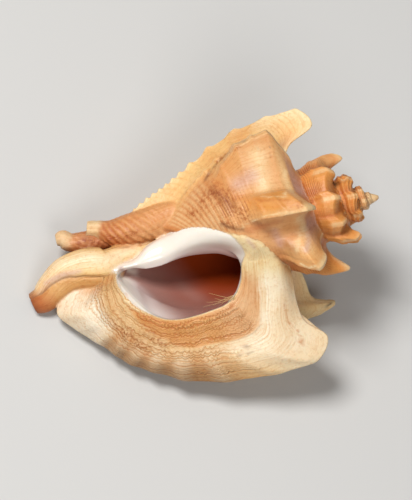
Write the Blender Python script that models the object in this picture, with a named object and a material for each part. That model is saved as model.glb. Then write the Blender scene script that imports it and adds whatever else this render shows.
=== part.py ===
"""An oyster drill's shell: a wound, spiny sea snail shell with flanged growth stops (varices).

Shell frame, in millimetres: d runs along the axis from the apex to the canal, p is up in the
picture that faces the aperture, and w comes out of that picture. A growth position is a count of
turns back from the aperture, and the shell there is WHORL_RATIO ** -turns as large.
"""

import math

import bpy
import numpy as np
from mathutils import Matrix

MM = 0.001

# Winding.
WHORL_RATIO = 1.8
APEX_TURNS = 5.4
TERMINAL_WALL = 0.06

# Each varix, newest first: turns back from the aperture, height, kind of crest, how spiny it is
# from 0 to 1, and how much further out its shoulder spine reaches, in millimetres.
VARICES = (
    (0.092, 1.0, "hooked", 1.0, 0.0),
    (0.215, 0.95, "winged", 1.0, 1.0),
    (0.34, 0.95, "winged", 0.5, 0.5),
    (0.465, 1.0, "winged", 1.0, 0.0),
    (0.575, 1.0, "winged", 0.0, 0.0),
    (0.735, 0.95, "winged", 0.45, 0.0),
    (0.87, 0.95, "winged", 0.35, 0.0),
    (1.02, 0.86, "spire", 1.0, 1.9),
    (1.16, 0.9, "winged", 0.7, 0.5),
    (1.31, 0.9, "spire", 0.8, 0.5),
    (1.46, 1.0, "spire", 1.0, 0.0),
    (1.60, 0.85, "spire", 0.5, 0.0),
    (1.71, 0.8, "spire", 0.45, 0.0),
    (1.81, 0.85, "winged", 0.4, 0.0),
    (1.91, 0.9, "winged", 0.9, 0.5),
    (2.01, 0.9, "winged", 0.9, 0.5),
    (2.14, 0.85, "spire", 0.8, 0.0),
    (2.28, 0.85, "spire", 0.7, 0.0),
    (2.42, 0.85, "spire", 0.6, 0.0),
    (2.56, 0.8, "spire", 0.5, 0.0),
    (2.70, 0.8, "spire", 0.5, 0.0),
    (2.85, 0.8, "spire", 0.5, 0.0),
    (3.0, 0.7, "spire", 0.5, 0.0),
    (3.15, 0.7, "spire", 0.4, 0.0),
    (3.3, 0.6, "spire", 0.3, 0.0),
    (3.45, 0.6, "spire", 0.2, 0.0),
    (3.6, 0.5, "spire", 0.2, 0.0),
    (3.75, 0.5, "spire", 0.2, 0.0),
    (3.9, 0.4, "spire", 0.2, 0.0),
)
LEADING_TURNS = 0.055
TRAILING_TURNS = 0.085
LEADING_POWER = 1.3
TRAILING_POWER = 2.2
# On the spire each varix is a collar: it rises all the way from the older one, and then drops.
COLLARS_FROM = 1.05
COLLAR_LEAD = 0.14
COLLAR_TRAIL = 0.78
COLLAR_POWER = 1.3
# How full the whorl stays between the collars, by turns back.
COLLAR_BASE = ((1.48, 0.0), (1.62, 0.55), (1.85, 0.55), (2.0, 0.3), (2.3, 0.7), (3.9, 0.7), (4.6, 0.2))
CURL_TURNS = 0.012
EDGE_THICKNESS = 0.55
CREST_RADIUS = 15.0
SPINE_SPOKE = 3.0
SPINE_WIDTH = 0.9
SPINE_POWER = 1.2
# Halfway up, a varix has come this share of its way along the axis, and away from the axis.
ROLL_OUT = (0.25, 0.8)
# The last spoke that newer growth leaves free, by turns back, and how a varix fades out there.
FREE_SPOKES = ((0.5, 14.5), (0.56, 7.2), (0.66, 7.2), (0.735, 6.6), (0.87, 5.2), (1.0, 6.5))
FADE_BEFORE, FADE_AFTER = 1.5, 1.0

# Spiral cords: the spoke each one follows, and how far it stands out on a varix, in millimetres.
CORDS = (
    (4.1, 0.25), (5.15, 0.3), (6.3, 0.4), (7.35, 0.45), (8.2, 0.4), (8.9, 0.4), (9.6, 0.4),
    (10.3, 0.4), (11.0, 0.4), (11.7, 0.4), (12.5, 0.35), (13.3, 0.3),
)
CORD_WIDTH = 0.24
CORD_ON_WALL = 0.25
CORD_ON_LIP = 0.6

# Spokes round the whorl's section, as (d, distance from the axis). They start at the suture, pass
# the shoulder at 3, run down the side to the canal at 14, and go back inside along the axis.
WALL = (
    (12.75, 5.75), (14.0, 7.6), (14.9, 8.9), (15.5, 9.8), (17.0, 10.5), (19.5, 11.0),
    (22.5, 11.1), (25.8, 10.7), (28.6, 9.6), (30.8, 8.1), (32.6, 6.5), (34.2, 5.0),
    (35.8, 3.8), (37.2, 3.0), (38.5, 2.2), (37.0, 0.8), (33.0, 0.5), (29.0, 0.5),
    (25.0, 0.5), (21.0, 0.6), (17.5, 1.0), (14.5, 2.0), (13.2, 3.8),
)
OUTER_SPOKES = 15
# Crests, as the first spokes of each kind and the side that they all share.
CREST_TOPS = {
    "blunt": (
        (12.7, 6.1), (13.8, 9.0), (14.3, 11.6), (15.7, 14.4), (17.2, 17.2), (19.8, 16.8),
        (22.6, 15.9), (26.2, 13.9),
    ),
    "winged": (
        (12.7, 6.1), (13.9, 8.8), (12.8, 11.4), (8.6, 13.9), (10.4, 16.9), (15.2, 16.7),
        (20.5, 15.6), (25.5, 13.6),
    ),
    "hooked": (
        (12.7, 6.1), (11.7, 11.0), (11.0, 14.6), (8.2, 15.9), (10.1, 17.1), (14.4, 17.2),
        (20.2, 16.3), (25.5, 14.2),
    ),
    "spire": (
        (12.7, 6.1), (13.9, 8.8), (12.6, 11.0), (8.5, 13.5), (11.2, 15.5), (16.5, 14.3),
        (20.6, 12.6), (25.5, 11.6),
    ),
}
CREST_SIDE = (
    (29.8, 11.1), (32.8, 9.3), (35.2, 8.0), (37.6, 6.9), (40.0, 5.6), (41.5, 4.3), (41.5, 2.6),
)

# The last varix and the aperture, spoke by spoke, as (d, distance below the axis, w).
LIP_EDGE = (
    (12.7, 6.5, 1.2), (12.6, 10.7, 0.6), (12.0, 13.5, 0.2), (9.6, 15.9, -0.4), (11.3, 18.5, -0.2),
    (15.8, 19.2, -0.2), (21.4, 19.1, 0.0), (26.9, 18.2, 0.0), (31.1, 16.4, 0.0), (34.8, 14.3, 0.0),
    (37.3, 11.8, 0.0), (40.2, 9.2, 0.0), (42.3, 6.4, 0.0), (39.8, 3.4, -0.4), (37.0, 1.8, -0.6),
)
LIP_FACE = (
    (14.0, 5.2, 4.5), (14.2, 8.8, 2.9), (14.9, 12.5, 1.9), (14.7, 15.1, 1.3), (16.5, 16.5, 1.5),
    (19.7, 16.9, 1.6), (23.2, 16.6, 1.8), (26.8, 16.2, 1.8), (30.6, 15.1, 1.9), (33.7, 13.3, 2.1),
    (35.8, 11.0, 2.5), (37.6, 8.7, 2.8), (38.7, 6.7, 2.2), (37.5, 4.5, 0.3), (35.7, 2.2, 0.8),
)
LIP_BAND = (
    (16.6, 5.0, 4.3), (17.0, 8.3, 3.0), (17.4, 10.8, 2.3), (17.9, 12.7, 1.9), (19.2, 13.6, 1.9),
    (21.6, 14.0, 1.9), (24.0, 13.9, 1.9), (26.8, 14.0, 1.9), (29.9, 13.4, 1.9), (32.7, 11.6, 2.0),
    (34.6, 9.6, 2.2), (35.8, 7.2, 2.2), (36.0, 5.2, 1.8), (35.6, 4.0, 1.1), (34.7, 2.6, 1.2),
)
LIP_RIM = (
    (18.3, 5.0, 3.7), (18.7, 7.1, 3.0), (19.5, 8.6, 2.7), (20.3, 9.4, 2.6), (21.4, 10.0, 2.6),
    (23.0, 10.3, 2.6), (24.8, 10.5, 2.6), (27.1, 10.6, 2.6), (29.2, 10.2, 2.6), (31.1, 9.1, 2.5),
    (32.5, 7.6, 2.4), (33.5, 6.0, 2.2), (34.1, 4.6, 1.9), (34.1, 3.6, 1.5), (33.6, 2.7, 1.3),
)
HOLE = (
    (18.7, 5.4, 2.4), (19.1, 6.7, 2.2), (19.8, 8.0, 2.0), (20.6, 8.8, 1.9), (21.6, 9.5, 1.9),
    (23.0, 9.8, 1.9), (24.9, 10.1, 1.9), (26.9, 10.2, 1.9), (28.8, 9.9, 1.9), (30.5, 8.8, 1.8),
    (31.8, 7.2, 1.7), (32.9, 5.6, 1.5), (33.6, 4.3, 1.2), (33.8, 3.5, 0.9), (33.2, 3.0, 0.8),
    (31.8, 2.9, 0.7), (30.2, 3.3, 0.7), (28.1, 3.2, 0.8), (25.7, 2.5, 1.0), (23.1, 2.2, 1.3),
    (20.9, 2.5, 1.6), (19.5, 3.2, 2.0), (18.8, 4.2, 2.3),
)
LIP_FLARE = 0.35
FLARE_TURNS = 0.012
LIP_BACK_ROWS = 8
# The inner lip's outer border on the older whorl, for the spokes after the canal.
CALLUS_BORDER = (
    (31.9, 1.8), (29.7, 0.4), (27.2, -0.5), (24.6, -0.9), (21.8, -0.5), (19.4, 0.6), (17.2, 1.4),
    (15.0, 2.9),
)
CALLUS_SWELL = (0.7, 0.7, 0.7, 0.7, 0.75, 0.95, 1.2, 1.1)
BORDER_SINK = 0.35
# The older whorl faces the aperture's side between these turns back.
FRONT_TURNS = (0.5, 1.0)
# Face, band and rim of the inner lip: the way from its border to the hole, and share of the swell.
CALLUS_LOOPS = ((0.13, 0.45), (0.38, 1.0), (0.7, 1.0))
# The cavity's section behind the aperture, smaller with each turn back like the shell itself.
CAVITY = (
    (14.8, 7.0), (15.7, 8.2), (16.7, 9.0), (18.0, 9.5), (20.0, 9.8), (22.5, 9.9),
    (25.0, 9.7), (27.3, 9.1), (29.3, 8.0), (31.0, 6.7), (32.3, 5.3), (33.2, 4.2),
    (33.8, 3.5), (33.6, 3.0), (32.8, 2.8), (31.0, 2.7), (29.0, 2.7), (26.5, 2.7),
    (23.8, 2.8), (21.2, 3.2), (19.2, 4.2), (17.2, 5.5), (15.6, 6.5),
)
CAVITY_TURNS = 0.72
CAVITY_CLOSES = 0.54
CAVITY_END_SIZE = 0.25
CAVITY_ROWS = 22

# Apex, canal and old canal ends: centre line and half width, as (d, p, w, half width).
APEX = ((0.05, 0.0, 0.0, 0.22), (0.6, 0.0, 0.0, 0.5), (1.5, 0.0, 0.0, 0.8), (2.6, 0.0, 0.0, 1.0))
CANAL = (
    (30.5, -0.8, -1.0, 1.2), (33.0, -1.1, -0.8, 1.5), (34.7, -1.9, -0.5, 2.3),
    (36.4, -2.0, -0.5, 2.6), (38.2, -1.8, -0.5, 2.5), (40.2, -2.1, -0.5, 2.3), (42.0, -3.2, -0.6, 2.05),
    (43.5, -4.45, -0.8, 1.8), (45.0, -4.85, -1.0, 1.35),
)
CANAL_FLAT = 0.8
CANAL_BORE = 0.6
OLD_CANALS = (
    ((30.5, 1.0, -2.4, 1.2), (34.0, 1.3, -2.3, 1.2), (37.0, 1.5, -2.0, 1.35), (38.9, 1.75, -1.9, 1.15),
     (39.9, 2.4, -1.8, 1.1), (40.7, 2.4, -1.8, 0.7)),
    ((21.0, 3.0, 0.4, 1.2), (23.5, 2.9, -0.7, 1.7), (26.0, 2.6, -1.1, 2.1), (28.5, 2.2, -1.1, 2.1),
     (31.0, 2.0, -1.1, 1.95), (33.3, 2.0, -1.3, 1.6), (35.3, 2.7, -1.6, 1.15), (36.6, 3.0, -1.7, 1.05)),
)

# At rest the shell lies on two dorsal varices and the canal's tip: its apex end is lifted by the
# pitch, it is rolled about its axis, and the apex is at REST_PLACE, in millimetres.
REST_PITCH = 21.01
REST_ROLL = 20.28
REST_PLACE = (20.9, 2.62, 19.34)
FLOOR_HALF = 0.04
FLOOR_DEPTH = 0.01

# Resolution, and the size of the cubes that fuse the swept shapes into one skin.
STEPS_PER_SPOKE = 6
ROWS_PER_STRETCH = 7
PLAIN_ROW_TURNS = 0.02
LIP_PROFILE_STEPS = 4
TUBE_STEPS = 4
TUBE_SIDES = 20
FUSE_SIZE = 0.2
THINNING = 0.034
SHELL_COLOUR = (0.76, 0.5, 0.27, 1.0)
SHELL_ROUGHNESS = 0.45


def catmull_rom(a, b, c, d, t):
    """Points from b to c on a smooth curve through all four."""
    square = 2 * a - 5 * b + 4 * c - d
    cube = 3 * b - a - 3 * c + d
    return 0.5 * (2 * b + (c - a) * t + square * t**2 + cube * t**3)


def closed_curve(points, steps):
    """A closed smooth curve through the points, with that many steps between two of them."""
    points = np.asarray(points, float)
    t = np.arange(steps)[:, None] / steps
    count = len(points)
    parts = []
    for i in range(count):
        near = [points[(i + j) % count] for j in (-1, 0, 1, 2)]
        parts.append(catmull_rom(*near, t))
    return np.concatenate(parts)


def open_curve(points, steps):
    """A smooth curve from the first point to the last."""
    points = np.asarray(points, float)
    ends = np.concatenate([[2 * points[0] - points[1]], points, [2 * points[-1] - points[-2]]])
    t = np.arange(steps)[:, None] / steps
    parts = [catmull_rom(*ends[i : i + 4], t) for i in range(len(points) - 1)]
    return np.concatenate([*parts, points[-1:]])


def wound(turns, section):
    """Points of a section, as (d, r) of the newest whorl, set at that many turns back."""
    angle = 2 * math.pi * turns
    size = WHORL_RATIO**-turns
    r = section[..., 1] * size
    return np.stack([section[..., 0] * size, -math.cos(angle) * r, -math.sin(angle) * r], axis=-1)


def facing(points):
    """Points given as (d, distance below the axis, w), as (d, p, w)."""
    return np.asarray(points, float) * (1.0, -1.0, 1.0)


def body_height(d, p):
    """How far the older whorl's plain surface comes forward at (d, p) under the inner lip."""
    outer = np.asarray(WALL[:OUTER_SPOKES], float)
    turns = np.linspace(*FRONT_TURNS, 400)
    size = WHORL_RATIO**-turns
    r = np.interp(d / size, outer[:, 0], outer[:, 1], left=0.0, right=1.0) * size
    miss = np.abs(-np.cos(2 * math.pi * turns) * r - p)
    best = int(np.argmin(miss))
    return float(-math.sin(2 * math.pi * turns[best]) * r[best])


def sections(steps):
    """The wall and each kind of crest as closed loops. Along the axis a crest is the wall."""
    inside = WALL[OUTER_SPOKES:]
    loops = {kind: closed_curve(top + CREST_SIDE + inside, steps) for kind, top in CREST_TOPS.items()}
    loops["wall"] = closed_curve(WALL, steps)
    return loops


def varix_rows(steps):
    """(turns, share of the crest's height, varix) of each row, from the apex to the last varix."""
    rows = []
    stops = list(VARICES)[::-1]
    before = APEX_TURNS
    for i, varix in enumerate(stops):
        newer = stops[i + 1][0] if i + 1 < len(stops) else 0.0
        older = stops[i - 1][0] if i else APEX_TURNS
        lead = min(LEADING_TURNS, 0.45 * (varix[0] - newer))
        trail = min(TRAILING_TURNS, 0.5 * (older - varix[0]))
        power = TRAILING_POWER
        if varix[0] > COLLARS_FROM:
            lead = COLLAR_LEAD * (varix[0] - newer)
            trail = COLLAR_TRAIL * (older - varix[0])
            power = COLLAR_POWER
        edge = EDGE_THICKNESS / (4 * math.pi * CREST_RADIUS * WHORL_RATIO ** -varix[0])
        start = varix[0] + trail + edge
        count = max(2, int((before - start) / PLAIN_ROW_TURNS))
        rows += [(t, 0.0, varix) for t in np.linspace(before, start, count, endpoint=False)]
        for q in np.linspace(0, 1, steps):
            h = q**power
            rows.append((varix[0] + edge + trail * (1 - q) + CURL_TURNS * h**3, h, varix))
        for q in np.linspace(0, 1, steps):
            h = (1 - q) ** LEADING_POWER
            rows.append((varix[0] - edge - lead * q + CURL_TURNS * h**3, h, varix))
        before = varix[0] - edge - lead
    rows += [(t, 0.0, stops[-1]) for t in np.linspace(before, TERMINAL_WALL, 3)[1:]]
    return rows


def cords(spoke):
    """How far the spiral cords stand out at each spoke."""
    return sum(size * np.exp(-(((spoke - at) / CORD_WIDTH) ** 2)) for at, size in CORDS)


def ring(turns, height, varix, loops, spoke):
    """One loop of the swept whorl."""
    _, tall, kind, spiny, out = varix
    wall, blunt = loops["wall"], loops["blunt"]
    spiny = spiny * height**SPINE_POWER
    crest = wall + (spiny * (loops[kind] - wall) + (1 - spiny) * (blunt - wall)) * tall
    crest[:, 1] += out * np.exp(-(((spoke - SPINE_SPOKE) / SPINE_WIDTH) ** 2)) + cords(spoke)
    free = np.interp(turns, *np.transpose(FREE_SPOKES))
    base = np.interp(turns, *np.transpose(COLLAR_BASE))
    full = base + (1 - base) * height
    share = full * (1 - smoothstep(free - FADE_BEFORE, free + FADE_AFTER, spoke))[:, None]
    wall = wall + np.stack([0 * spoke, CORD_ON_WALL * cords(spoke)], axis=-1)
    outward = wall + (crest - wall) * ROLL_OUT
    section = (1 - share) ** 2 * wall + 2 * share * (1 - share) * outward + share**2 * crest
    return wound(turns, section)


def smoothstep(low, high, x):
    t = np.clip((x - low) / (high - low), 0.0, 1.0)
    return t * t * (3.0 - 2.0 * t)


def lip_rings(steps, loops):
    """The last varix from its back to its edge, its face, the rim, the hole and the cavity."""
    wall = wound(TERMINAL_WALL, loops["wall"])
    spoke = np.arange(len(wall)) / steps
    border = [(d, r, body_height(d, -r) - BORDER_SINK) for d, r in CALLUS_BORDER]
    inner_hole = np.asarray(HOLE[OUTER_SPOKES:], float)
    lip_parts = []
    for outer_part, (way, swell) in zip((LIP_FACE, LIP_BAND, LIP_RIM), CALLUS_LOOPS):
        inner_part = np.asarray(border) * (1 - way) + inner_hole * way
        inner_part[:, 2] += BORDER_SINK * (1 - way) + swell * np.asarray(CALLUS_SWELL)
        lip_parts.append(closed_curve(facing([*outer_part, *inner_part.tolist()]), steps))
    edge = closed_curve(facing([*LIP_EDGE, *border]), steps)
    edge[:, 1] -= CORD_ON_LIP * cords(spoke)
    hole = closed_curve(facing(HOLE), steps)

    outer_lip = (spoke < OUTER_SPOKES - 0.5)[:, None]
    ahead = wound(FLARE_TURNS, loops["wall"])
    control = ahead + np.where(outer_lip, LIP_FLARE, 0.0) * (edge - ahead)
    back = edge - np.where(outer_lip, EDGE_THICKNESS, 0.0) * (0.0, 0.0, 1.0)
    rings = []
    for q in np.linspace(0, 1, LIP_BACK_ROWS)[1:]:
        rings.append((1 - q) ** 2 * wall + 2 * q * (1 - q) * control + q**2 * back)
    profile = np.stack([edge, *lip_parts, hole])
    rings += list(open_curve(profile.reshape(len(profile), -1), LIP_PROFILE_STEPS).reshape(-1, *edge.shape))

    cavity = closed_curve(CAVITY, steps)
    middle = cavity.mean(axis=0)
    for turns in np.linspace(FLARE_TURNS, CAVITY_TURNS, CAVITY_ROWS):
        size = 1 - (1 - CAVITY_END_SIZE) * smoothstep(CAVITY_CLOSES, CAVITY_TURNS, turns)
        rings.append(wound(turns, middle + (cavity - middle) * size))
    return rings


def closed_mesh(name, rings):
    """A closed mesh from loops of (d, p, w) points, with a fan at each end. Its x is -d."""
    rings = np.asarray(rings, float) * (-1.0, 1.0, 1.0)
    rows, columns, _ = rings.shape
    points = np.concatenate([rings.reshape(-1, 3), [rings[0].mean(axis=0)], [rings[-1].mean(axis=0)]])
    first, last, top = rows * columns, rows * columns + 1, (rows - 1) * columns
    faces = []
    for i in range(columns):
        j = (i + 1) % columns
        faces += [(r * columns + i, r * columns + j, (r + 1) * columns + j, (r + 1) * columns + i)
                  for r in range(rows - 1)]
        faces += [(first, j, i), (last, top + i, top + j)]
    mesh = bpy.data.meshes.new(name)
    mesh.from_pydata(points.tolist(), [], faces)
    mesh.update()
    return mesh


def tube_rings(line, flat=1.0, bore=0.0):
    """Loops round a centre line of (d, p, w, half width). A bore leaves its far end open."""
    path = open_curve(line, TUBE_STEPS)
    centre, half = path[:, :3], path[:, 3]
    along = np.gradient(centre, axis=0)
    along /= np.linalg.norm(along, axis=1)[:, None]
    across = np.cross(along, (0.0, 0.0, 1.0))
    across /= np.linalg.norm(across, axis=1)[:, None]
    out = np.cross(across, along)
    angle = 2 * math.pi * np.arange(TUBE_SIDES)[:, None] / TUBE_SIDES

    def loop(i, radius):
        return centre[i] + radius * (np.cos(angle) * across[i] + flat * np.sin(angle) * out[i])

    rings = [loop(i, half[i]) for i in range(len(path))]
    if bore:
        rings += [loop(i, bore * half[i]) for i in range(len(path) - 1, len(path) - 2 * TUBE_STEPS, -1)]
    return rings


def rest_pose():
    """From the shell frame, with x towards the apex, to the shell lying on its back on z = 0."""
    pitch = Matrix.Rotation(-math.radians(REST_PITCH), 4, "Y")
    roll = Matrix.Rotation(math.radians(REST_ROLL), 4, "X")
    return Matrix.Scale(MM, 4) @ Matrix.Translation(REST_PLACE) @ pitch @ roll


def shell():
    """The shell's overlapping shapes."""
    loops = sections(STEPS_PER_SPOKE)
    spoke = np.arange(len(loops["wall"])) / STEPS_PER_SPOKE
    rings = [ring(*row, loops, spoke) for row in varix_rows(ROWS_PER_STRETCH)]
    rings += lip_rings(STEPS_PER_SPOKE, loops)
    pieces = [closed_mesh("whorls", rings)]
    pieces.append(closed_mesh("apex", tube_rings(APEX)))
    pieces.append(closed_mesh("canal", tube_rings(CANAL, CANAL_FLAT, CANAL_BORE)))
    pieces += [closed_mesh("old canal", tube_rings(line)) for line in OLD_CANALS]
    return pieces


def join(meshes):
    """One object that holds all the meshes, which still overlap."""
    objects = []
    for mesh in meshes:
        objects.append(bpy.data.objects.new(mesh.name, mesh))
        bpy.context.scene.collection.objects.link(objects[-1])
    with bpy.context.temp_override(active_object=objects[0], selected_editable_objects=objects):
        bpy.ops.object.join()
    return objects[0]


def floor_cutter():
    """The space below z = 0, where the shell's lowest points are worn flat."""
    square = ((-1, -1), (1, -1), (1, 1), (-1, 1))
    corners = [(x * FLOOR_HALF, y * FLOOR_HALF, z) for z in (-FLOOR_DEPTH, 0.0) for x, y in square]
    sides = [(i, (i + 1) % 4, (i + 1) % 4 + 4, i + 4) for i in range(4)]
    mesh = bpy.data.meshes.new("floor")
    mesh.from_pydata(corners, [], [(3, 2, 1, 0), (4, 5, 6, 7), *sides])
    cutter = bpy.data.objects.new("floor", mesh)
    bpy.context.scene.collection.objects.link(cutter)
    cutter.hide_render = True
    cutter.display_type = "WIRE"
    return cutter


def shell_material():
    material = bpy.data.materials.new("shell")
    material.use_nodes = True
    surface = material.node_tree.nodes["Principled BSDF"]
    surface.inputs["Base Color"].default_value = SHELL_COLOUR
    surface.inputs["Roughness"].default_value = SHELL_ROUGHNESS
    return material


def main():
    for old in list(bpy.data.objects):
        bpy.data.objects.remove(old)
    made = join(shell())
    made.name = "shell"
    made.data.transform(rest_pose())
    made.data.materials.clear()
    made.data.materials.append(shell_material())
    fuse = made.modifiers.new("Fuse", "REMESH")
    fuse.mode = "VOXEL"
    fuse.voxel_size = FUSE_SIZE * MM
    thin = made.modifiers.new("Thin", "DECIMATE")
    thin.ratio = THINNING
    worn = made.modifiers.new("Worn flat", "BOOLEAN")
    worn.operation = "DIFFERENCE"
    worn.object = floor_cutter()


main()
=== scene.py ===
"""An Asian oyster drill's shell, lying on its back on a pale table.

The shell is wound in its own frame, in millimetres: d runs along the axis from the spire's tip to
the canal, p is up in the picture and w comes out of it, and r is the distance from the axis. Turns
are counted back from the aperture, and the shell there is WHORL_RATIO ** -turns as large. Spokes
are counted round a section: 0 at the suture, 3 on the shoulder, 14 beside the canal, and on from
there along the inside. REST turns all of it to the way that the shell lies.
"""

import math

import bpy
import numpy as np
from mathutils import Matrix, Vector
from mathutils.bvhtree import BVHTree

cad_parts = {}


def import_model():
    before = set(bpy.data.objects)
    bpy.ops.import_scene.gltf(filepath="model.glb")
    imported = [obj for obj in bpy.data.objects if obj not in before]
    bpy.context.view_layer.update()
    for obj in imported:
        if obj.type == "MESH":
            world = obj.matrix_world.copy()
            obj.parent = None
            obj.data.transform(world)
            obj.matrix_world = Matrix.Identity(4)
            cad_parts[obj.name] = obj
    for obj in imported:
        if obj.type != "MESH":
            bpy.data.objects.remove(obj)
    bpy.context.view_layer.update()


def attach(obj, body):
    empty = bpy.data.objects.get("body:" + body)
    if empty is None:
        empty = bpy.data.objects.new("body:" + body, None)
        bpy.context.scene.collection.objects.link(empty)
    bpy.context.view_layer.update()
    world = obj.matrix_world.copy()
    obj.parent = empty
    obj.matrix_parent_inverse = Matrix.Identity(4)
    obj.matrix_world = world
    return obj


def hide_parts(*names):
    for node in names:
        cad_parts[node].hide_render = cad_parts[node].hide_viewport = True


MM = 0.001

# The winding and the varices, as in the solid. The last varix starts to rise at TERMINAL_WALL. Each
# of the others has its turns, its height, the kind of its crest, how far it takes that kind's
# shape, and how far its shoulder spine stands out further.
WHORL_RATIO = 1.8
APEX_TURNS = 5.4
TERMINAL_WALL = 0.06
VARICES = (
    (0.092, 1.0, "hooked", 1.0, 0.0),
    (0.215, 0.95, "winged", 1.0, 1.0),
    (0.34, 0.95, "winged", 0.5, 0.5),
    (0.465, 1.0, "winged", 1.0, 0.0),
    (0.575, 1.0, "winged", 0.0, 0.0),
    (0.735, 0.95, "winged", 0.45, 0.0),
    (0.87, 0.95, "winged", 0.35, 0.0),
    (1.02, 0.86, "spire", 1.0, 1.9),
    (1.16, 0.9, "winged", 0.7, 0.5),
    (1.31, 0.9, "spire", 0.8, 0.5),
    (1.46, 1.0, "spire", 1.0, 0.0),
    (1.60, 0.85, "spire", 0.5, 0.0),
    (1.71, 0.8, "spire", 0.45, 0.0),
    (1.81, 0.85, "winged", 0.4, 0.0),
    (1.91, 0.9, "winged", 0.9, 0.5),
    (2.01, 0.9, "winged", 0.9, 0.5),
    (2.14, 0.85, "spire", 0.8, 0.0),
    (2.28, 0.85, "spire", 0.7, 0.0),
    (2.42, 0.85, "spire", 0.6, 0.0),
    (2.56, 0.8, "spire", 0.5, 0.0),
    (2.70, 0.8, "spire", 0.5, 0.0),
    (2.85, 0.8, "spire", 0.5, 0.0),
    (3.0, 0.7, "spire", 0.5, 0.0),
    (3.15, 0.7, "spire", 0.4, 0.0),
    (3.3, 0.6, "spire", 0.3, 0.0),
    (3.45, 0.6, "spire", 0.2, 0.0),
    (3.6, 0.5, "spire", 0.2, 0.0),
    (3.75, 0.5, "spire", 0.2, 0.0),
    (3.9, 0.4, "spire", 0.2, 0.0),
)
# The turns and the power by which a varix rises on its older side and falls on its newer one, and
# how much of the gap to its neighbour each side takes at most.
TRAILING_TURNS = 0.085
TRAILING_POWER = 2.2
TRAILING_GAP = 0.5
LEADING_TURNS = 0.055
LEADING_POWER = 1.3
LEADING_GAP = 0.45
# On the spire the varices are low collars. They rise and fall over these shares of the way to
# their neighbours, and keep a share of their height between them, as (turns, share).
COLLARS_FROM = 1.05
COLLAR_LEAD = 0.14
COLLAR_TRAIL = 0.78
COLLAR_POWER = 1.3
COLLAR_BASE = ((1.48, 0.0), (1.62, 0.55), (1.85, 0.55), (2.0, 0.3), (2.3, 0.7), (3.9, 0.7), (4.6, 0.2))
# A varix's edge: how far it curls back, and its thickness, which is measured at that radius.
CURL_TURNS = 0.012
EDGE_THICKNESS = 0.5
CREST_RADIUS = 15.0
# The shoulder spine's spoke and width, and the power of the height by which a crest takes the shape
# of its kind.
SPINE_SPOKE = 3.0
SPINE_WIDTH = 0.9
KIND_POWER = 1.2
# How far along the axis and outwards the middle of a varix's flare is towards its crest.
ROLL_OUT = (0.25, 0.8)
# The spoke up to which a varix stands free of newer growth, as (turns, spoke), and how it fades.
FREE_SPOKES = ((0.5, 14.5), (0.56, 7.2), (0.66, 7.2), (0.735, 6.6), (0.87, 5.2), (1.0, 6.5))
FADE_BEFORE, FADE_AFTER = 1.5, 1.0

# Spiral cords, as the spoke that each one follows and how far it stands out on a varix, their
# width, and how much of them shows between the varices.
CORDS = (
    (4.1, 0.25), (5.15, 0.35), (6.2, 0.6), (7.2, 0.65), (8.0, 0.65), (8.6, 0.6), (9.1, 0.6),
    (9.6, 0.6), (10.1, 0.6), (10.6, 0.6), (11.1, 0.6), (11.6, 0.55), (12.1, 0.5), (12.6, 0.4),
    (13.1, 0.3),
)
CORD_WIDTH = 0.16
CORD_ON_WALL = 0.3
# The folds of the last varix, as the spoke and the height of each, their width, and how much of
# that height the edge and the face take.
LIP_FOLDS = (
    (4.1, 0.2), (5.15, 0.25), (6.3, 0.35), (7.35, 0.4), (8.2, 0.35), (8.9, 0.35), (9.6, 0.35),
    (10.3, 0.3), (11.0, 0.12), (11.8, 0.1), (12.7, 0.08),
)
LIP_FOLD_WIDTH = 0.24
EDGE_FOLD_SHARE = 0.6
FACE_FOLD_SHARE = 1.1

# The section of the newest whorl, as (d, r), and the tops of each kind of crest. The first
# OUTER_SPOKES points of the wall are its outside.
WALL = (
    (12.75, 5.75), (14.0, 7.6), (14.9, 8.9), (15.5, 9.8), (17.0, 10.5), (19.5, 11.0),
    (22.5, 11.1), (25.8, 10.7), (28.6, 9.6), (30.8, 8.1), (32.6, 6.5), (34.2, 5.0),
    (35.8, 3.8), (37.2, 3.0), (38.5, 2.2), (37.0, 0.8), (33.0, 0.5), (29.0, 0.5),
    (25.0, 0.5), (21.0, 0.6), (17.5, 1.0), (14.5, 2.0), (13.2, 3.8),
)
OUTER_SPOKES = 15
CREST_TOPS = {
    "blunt": (
        (12.7, 6.1), (13.8, 9.0), (14.3, 11.6), (15.7, 14.4), (17.2, 17.2), (19.8, 16.8),
        (22.6, 15.9), (26.2, 13.9),
    ),
    "winged": (
        (12.7, 6.1), (13.9, 8.8), (12.8, 11.4), (8.6, 13.9), (10.4, 16.9), (15.2, 16.7),
        (20.5, 15.6), (25.5, 13.6),
    ),
    "hooked": (
        (12.7, 6.1), (11.7, 11.0), (11.0, 14.6), (8.2, 15.9), (10.1, 17.1), (14.4, 17.2),
        (20.2, 16.3), (25.5, 14.2),
    ),
    "spire": (
        (12.7, 6.1), (13.9, 8.8), (12.6, 11.0), (8.5, 13.5), (11.2, 15.5), (16.5, 14.3),
        (20.6, 12.6), (25.5, 11.6),
    ),
}
CREST_SIDE = (
    (29.8, 11.1), (32.8, 9.3), (35.2, 8.0), (37.6, 6.9), (40.0, 5.6), (41.5, 4.3), (41.5, 2.6),
)

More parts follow.
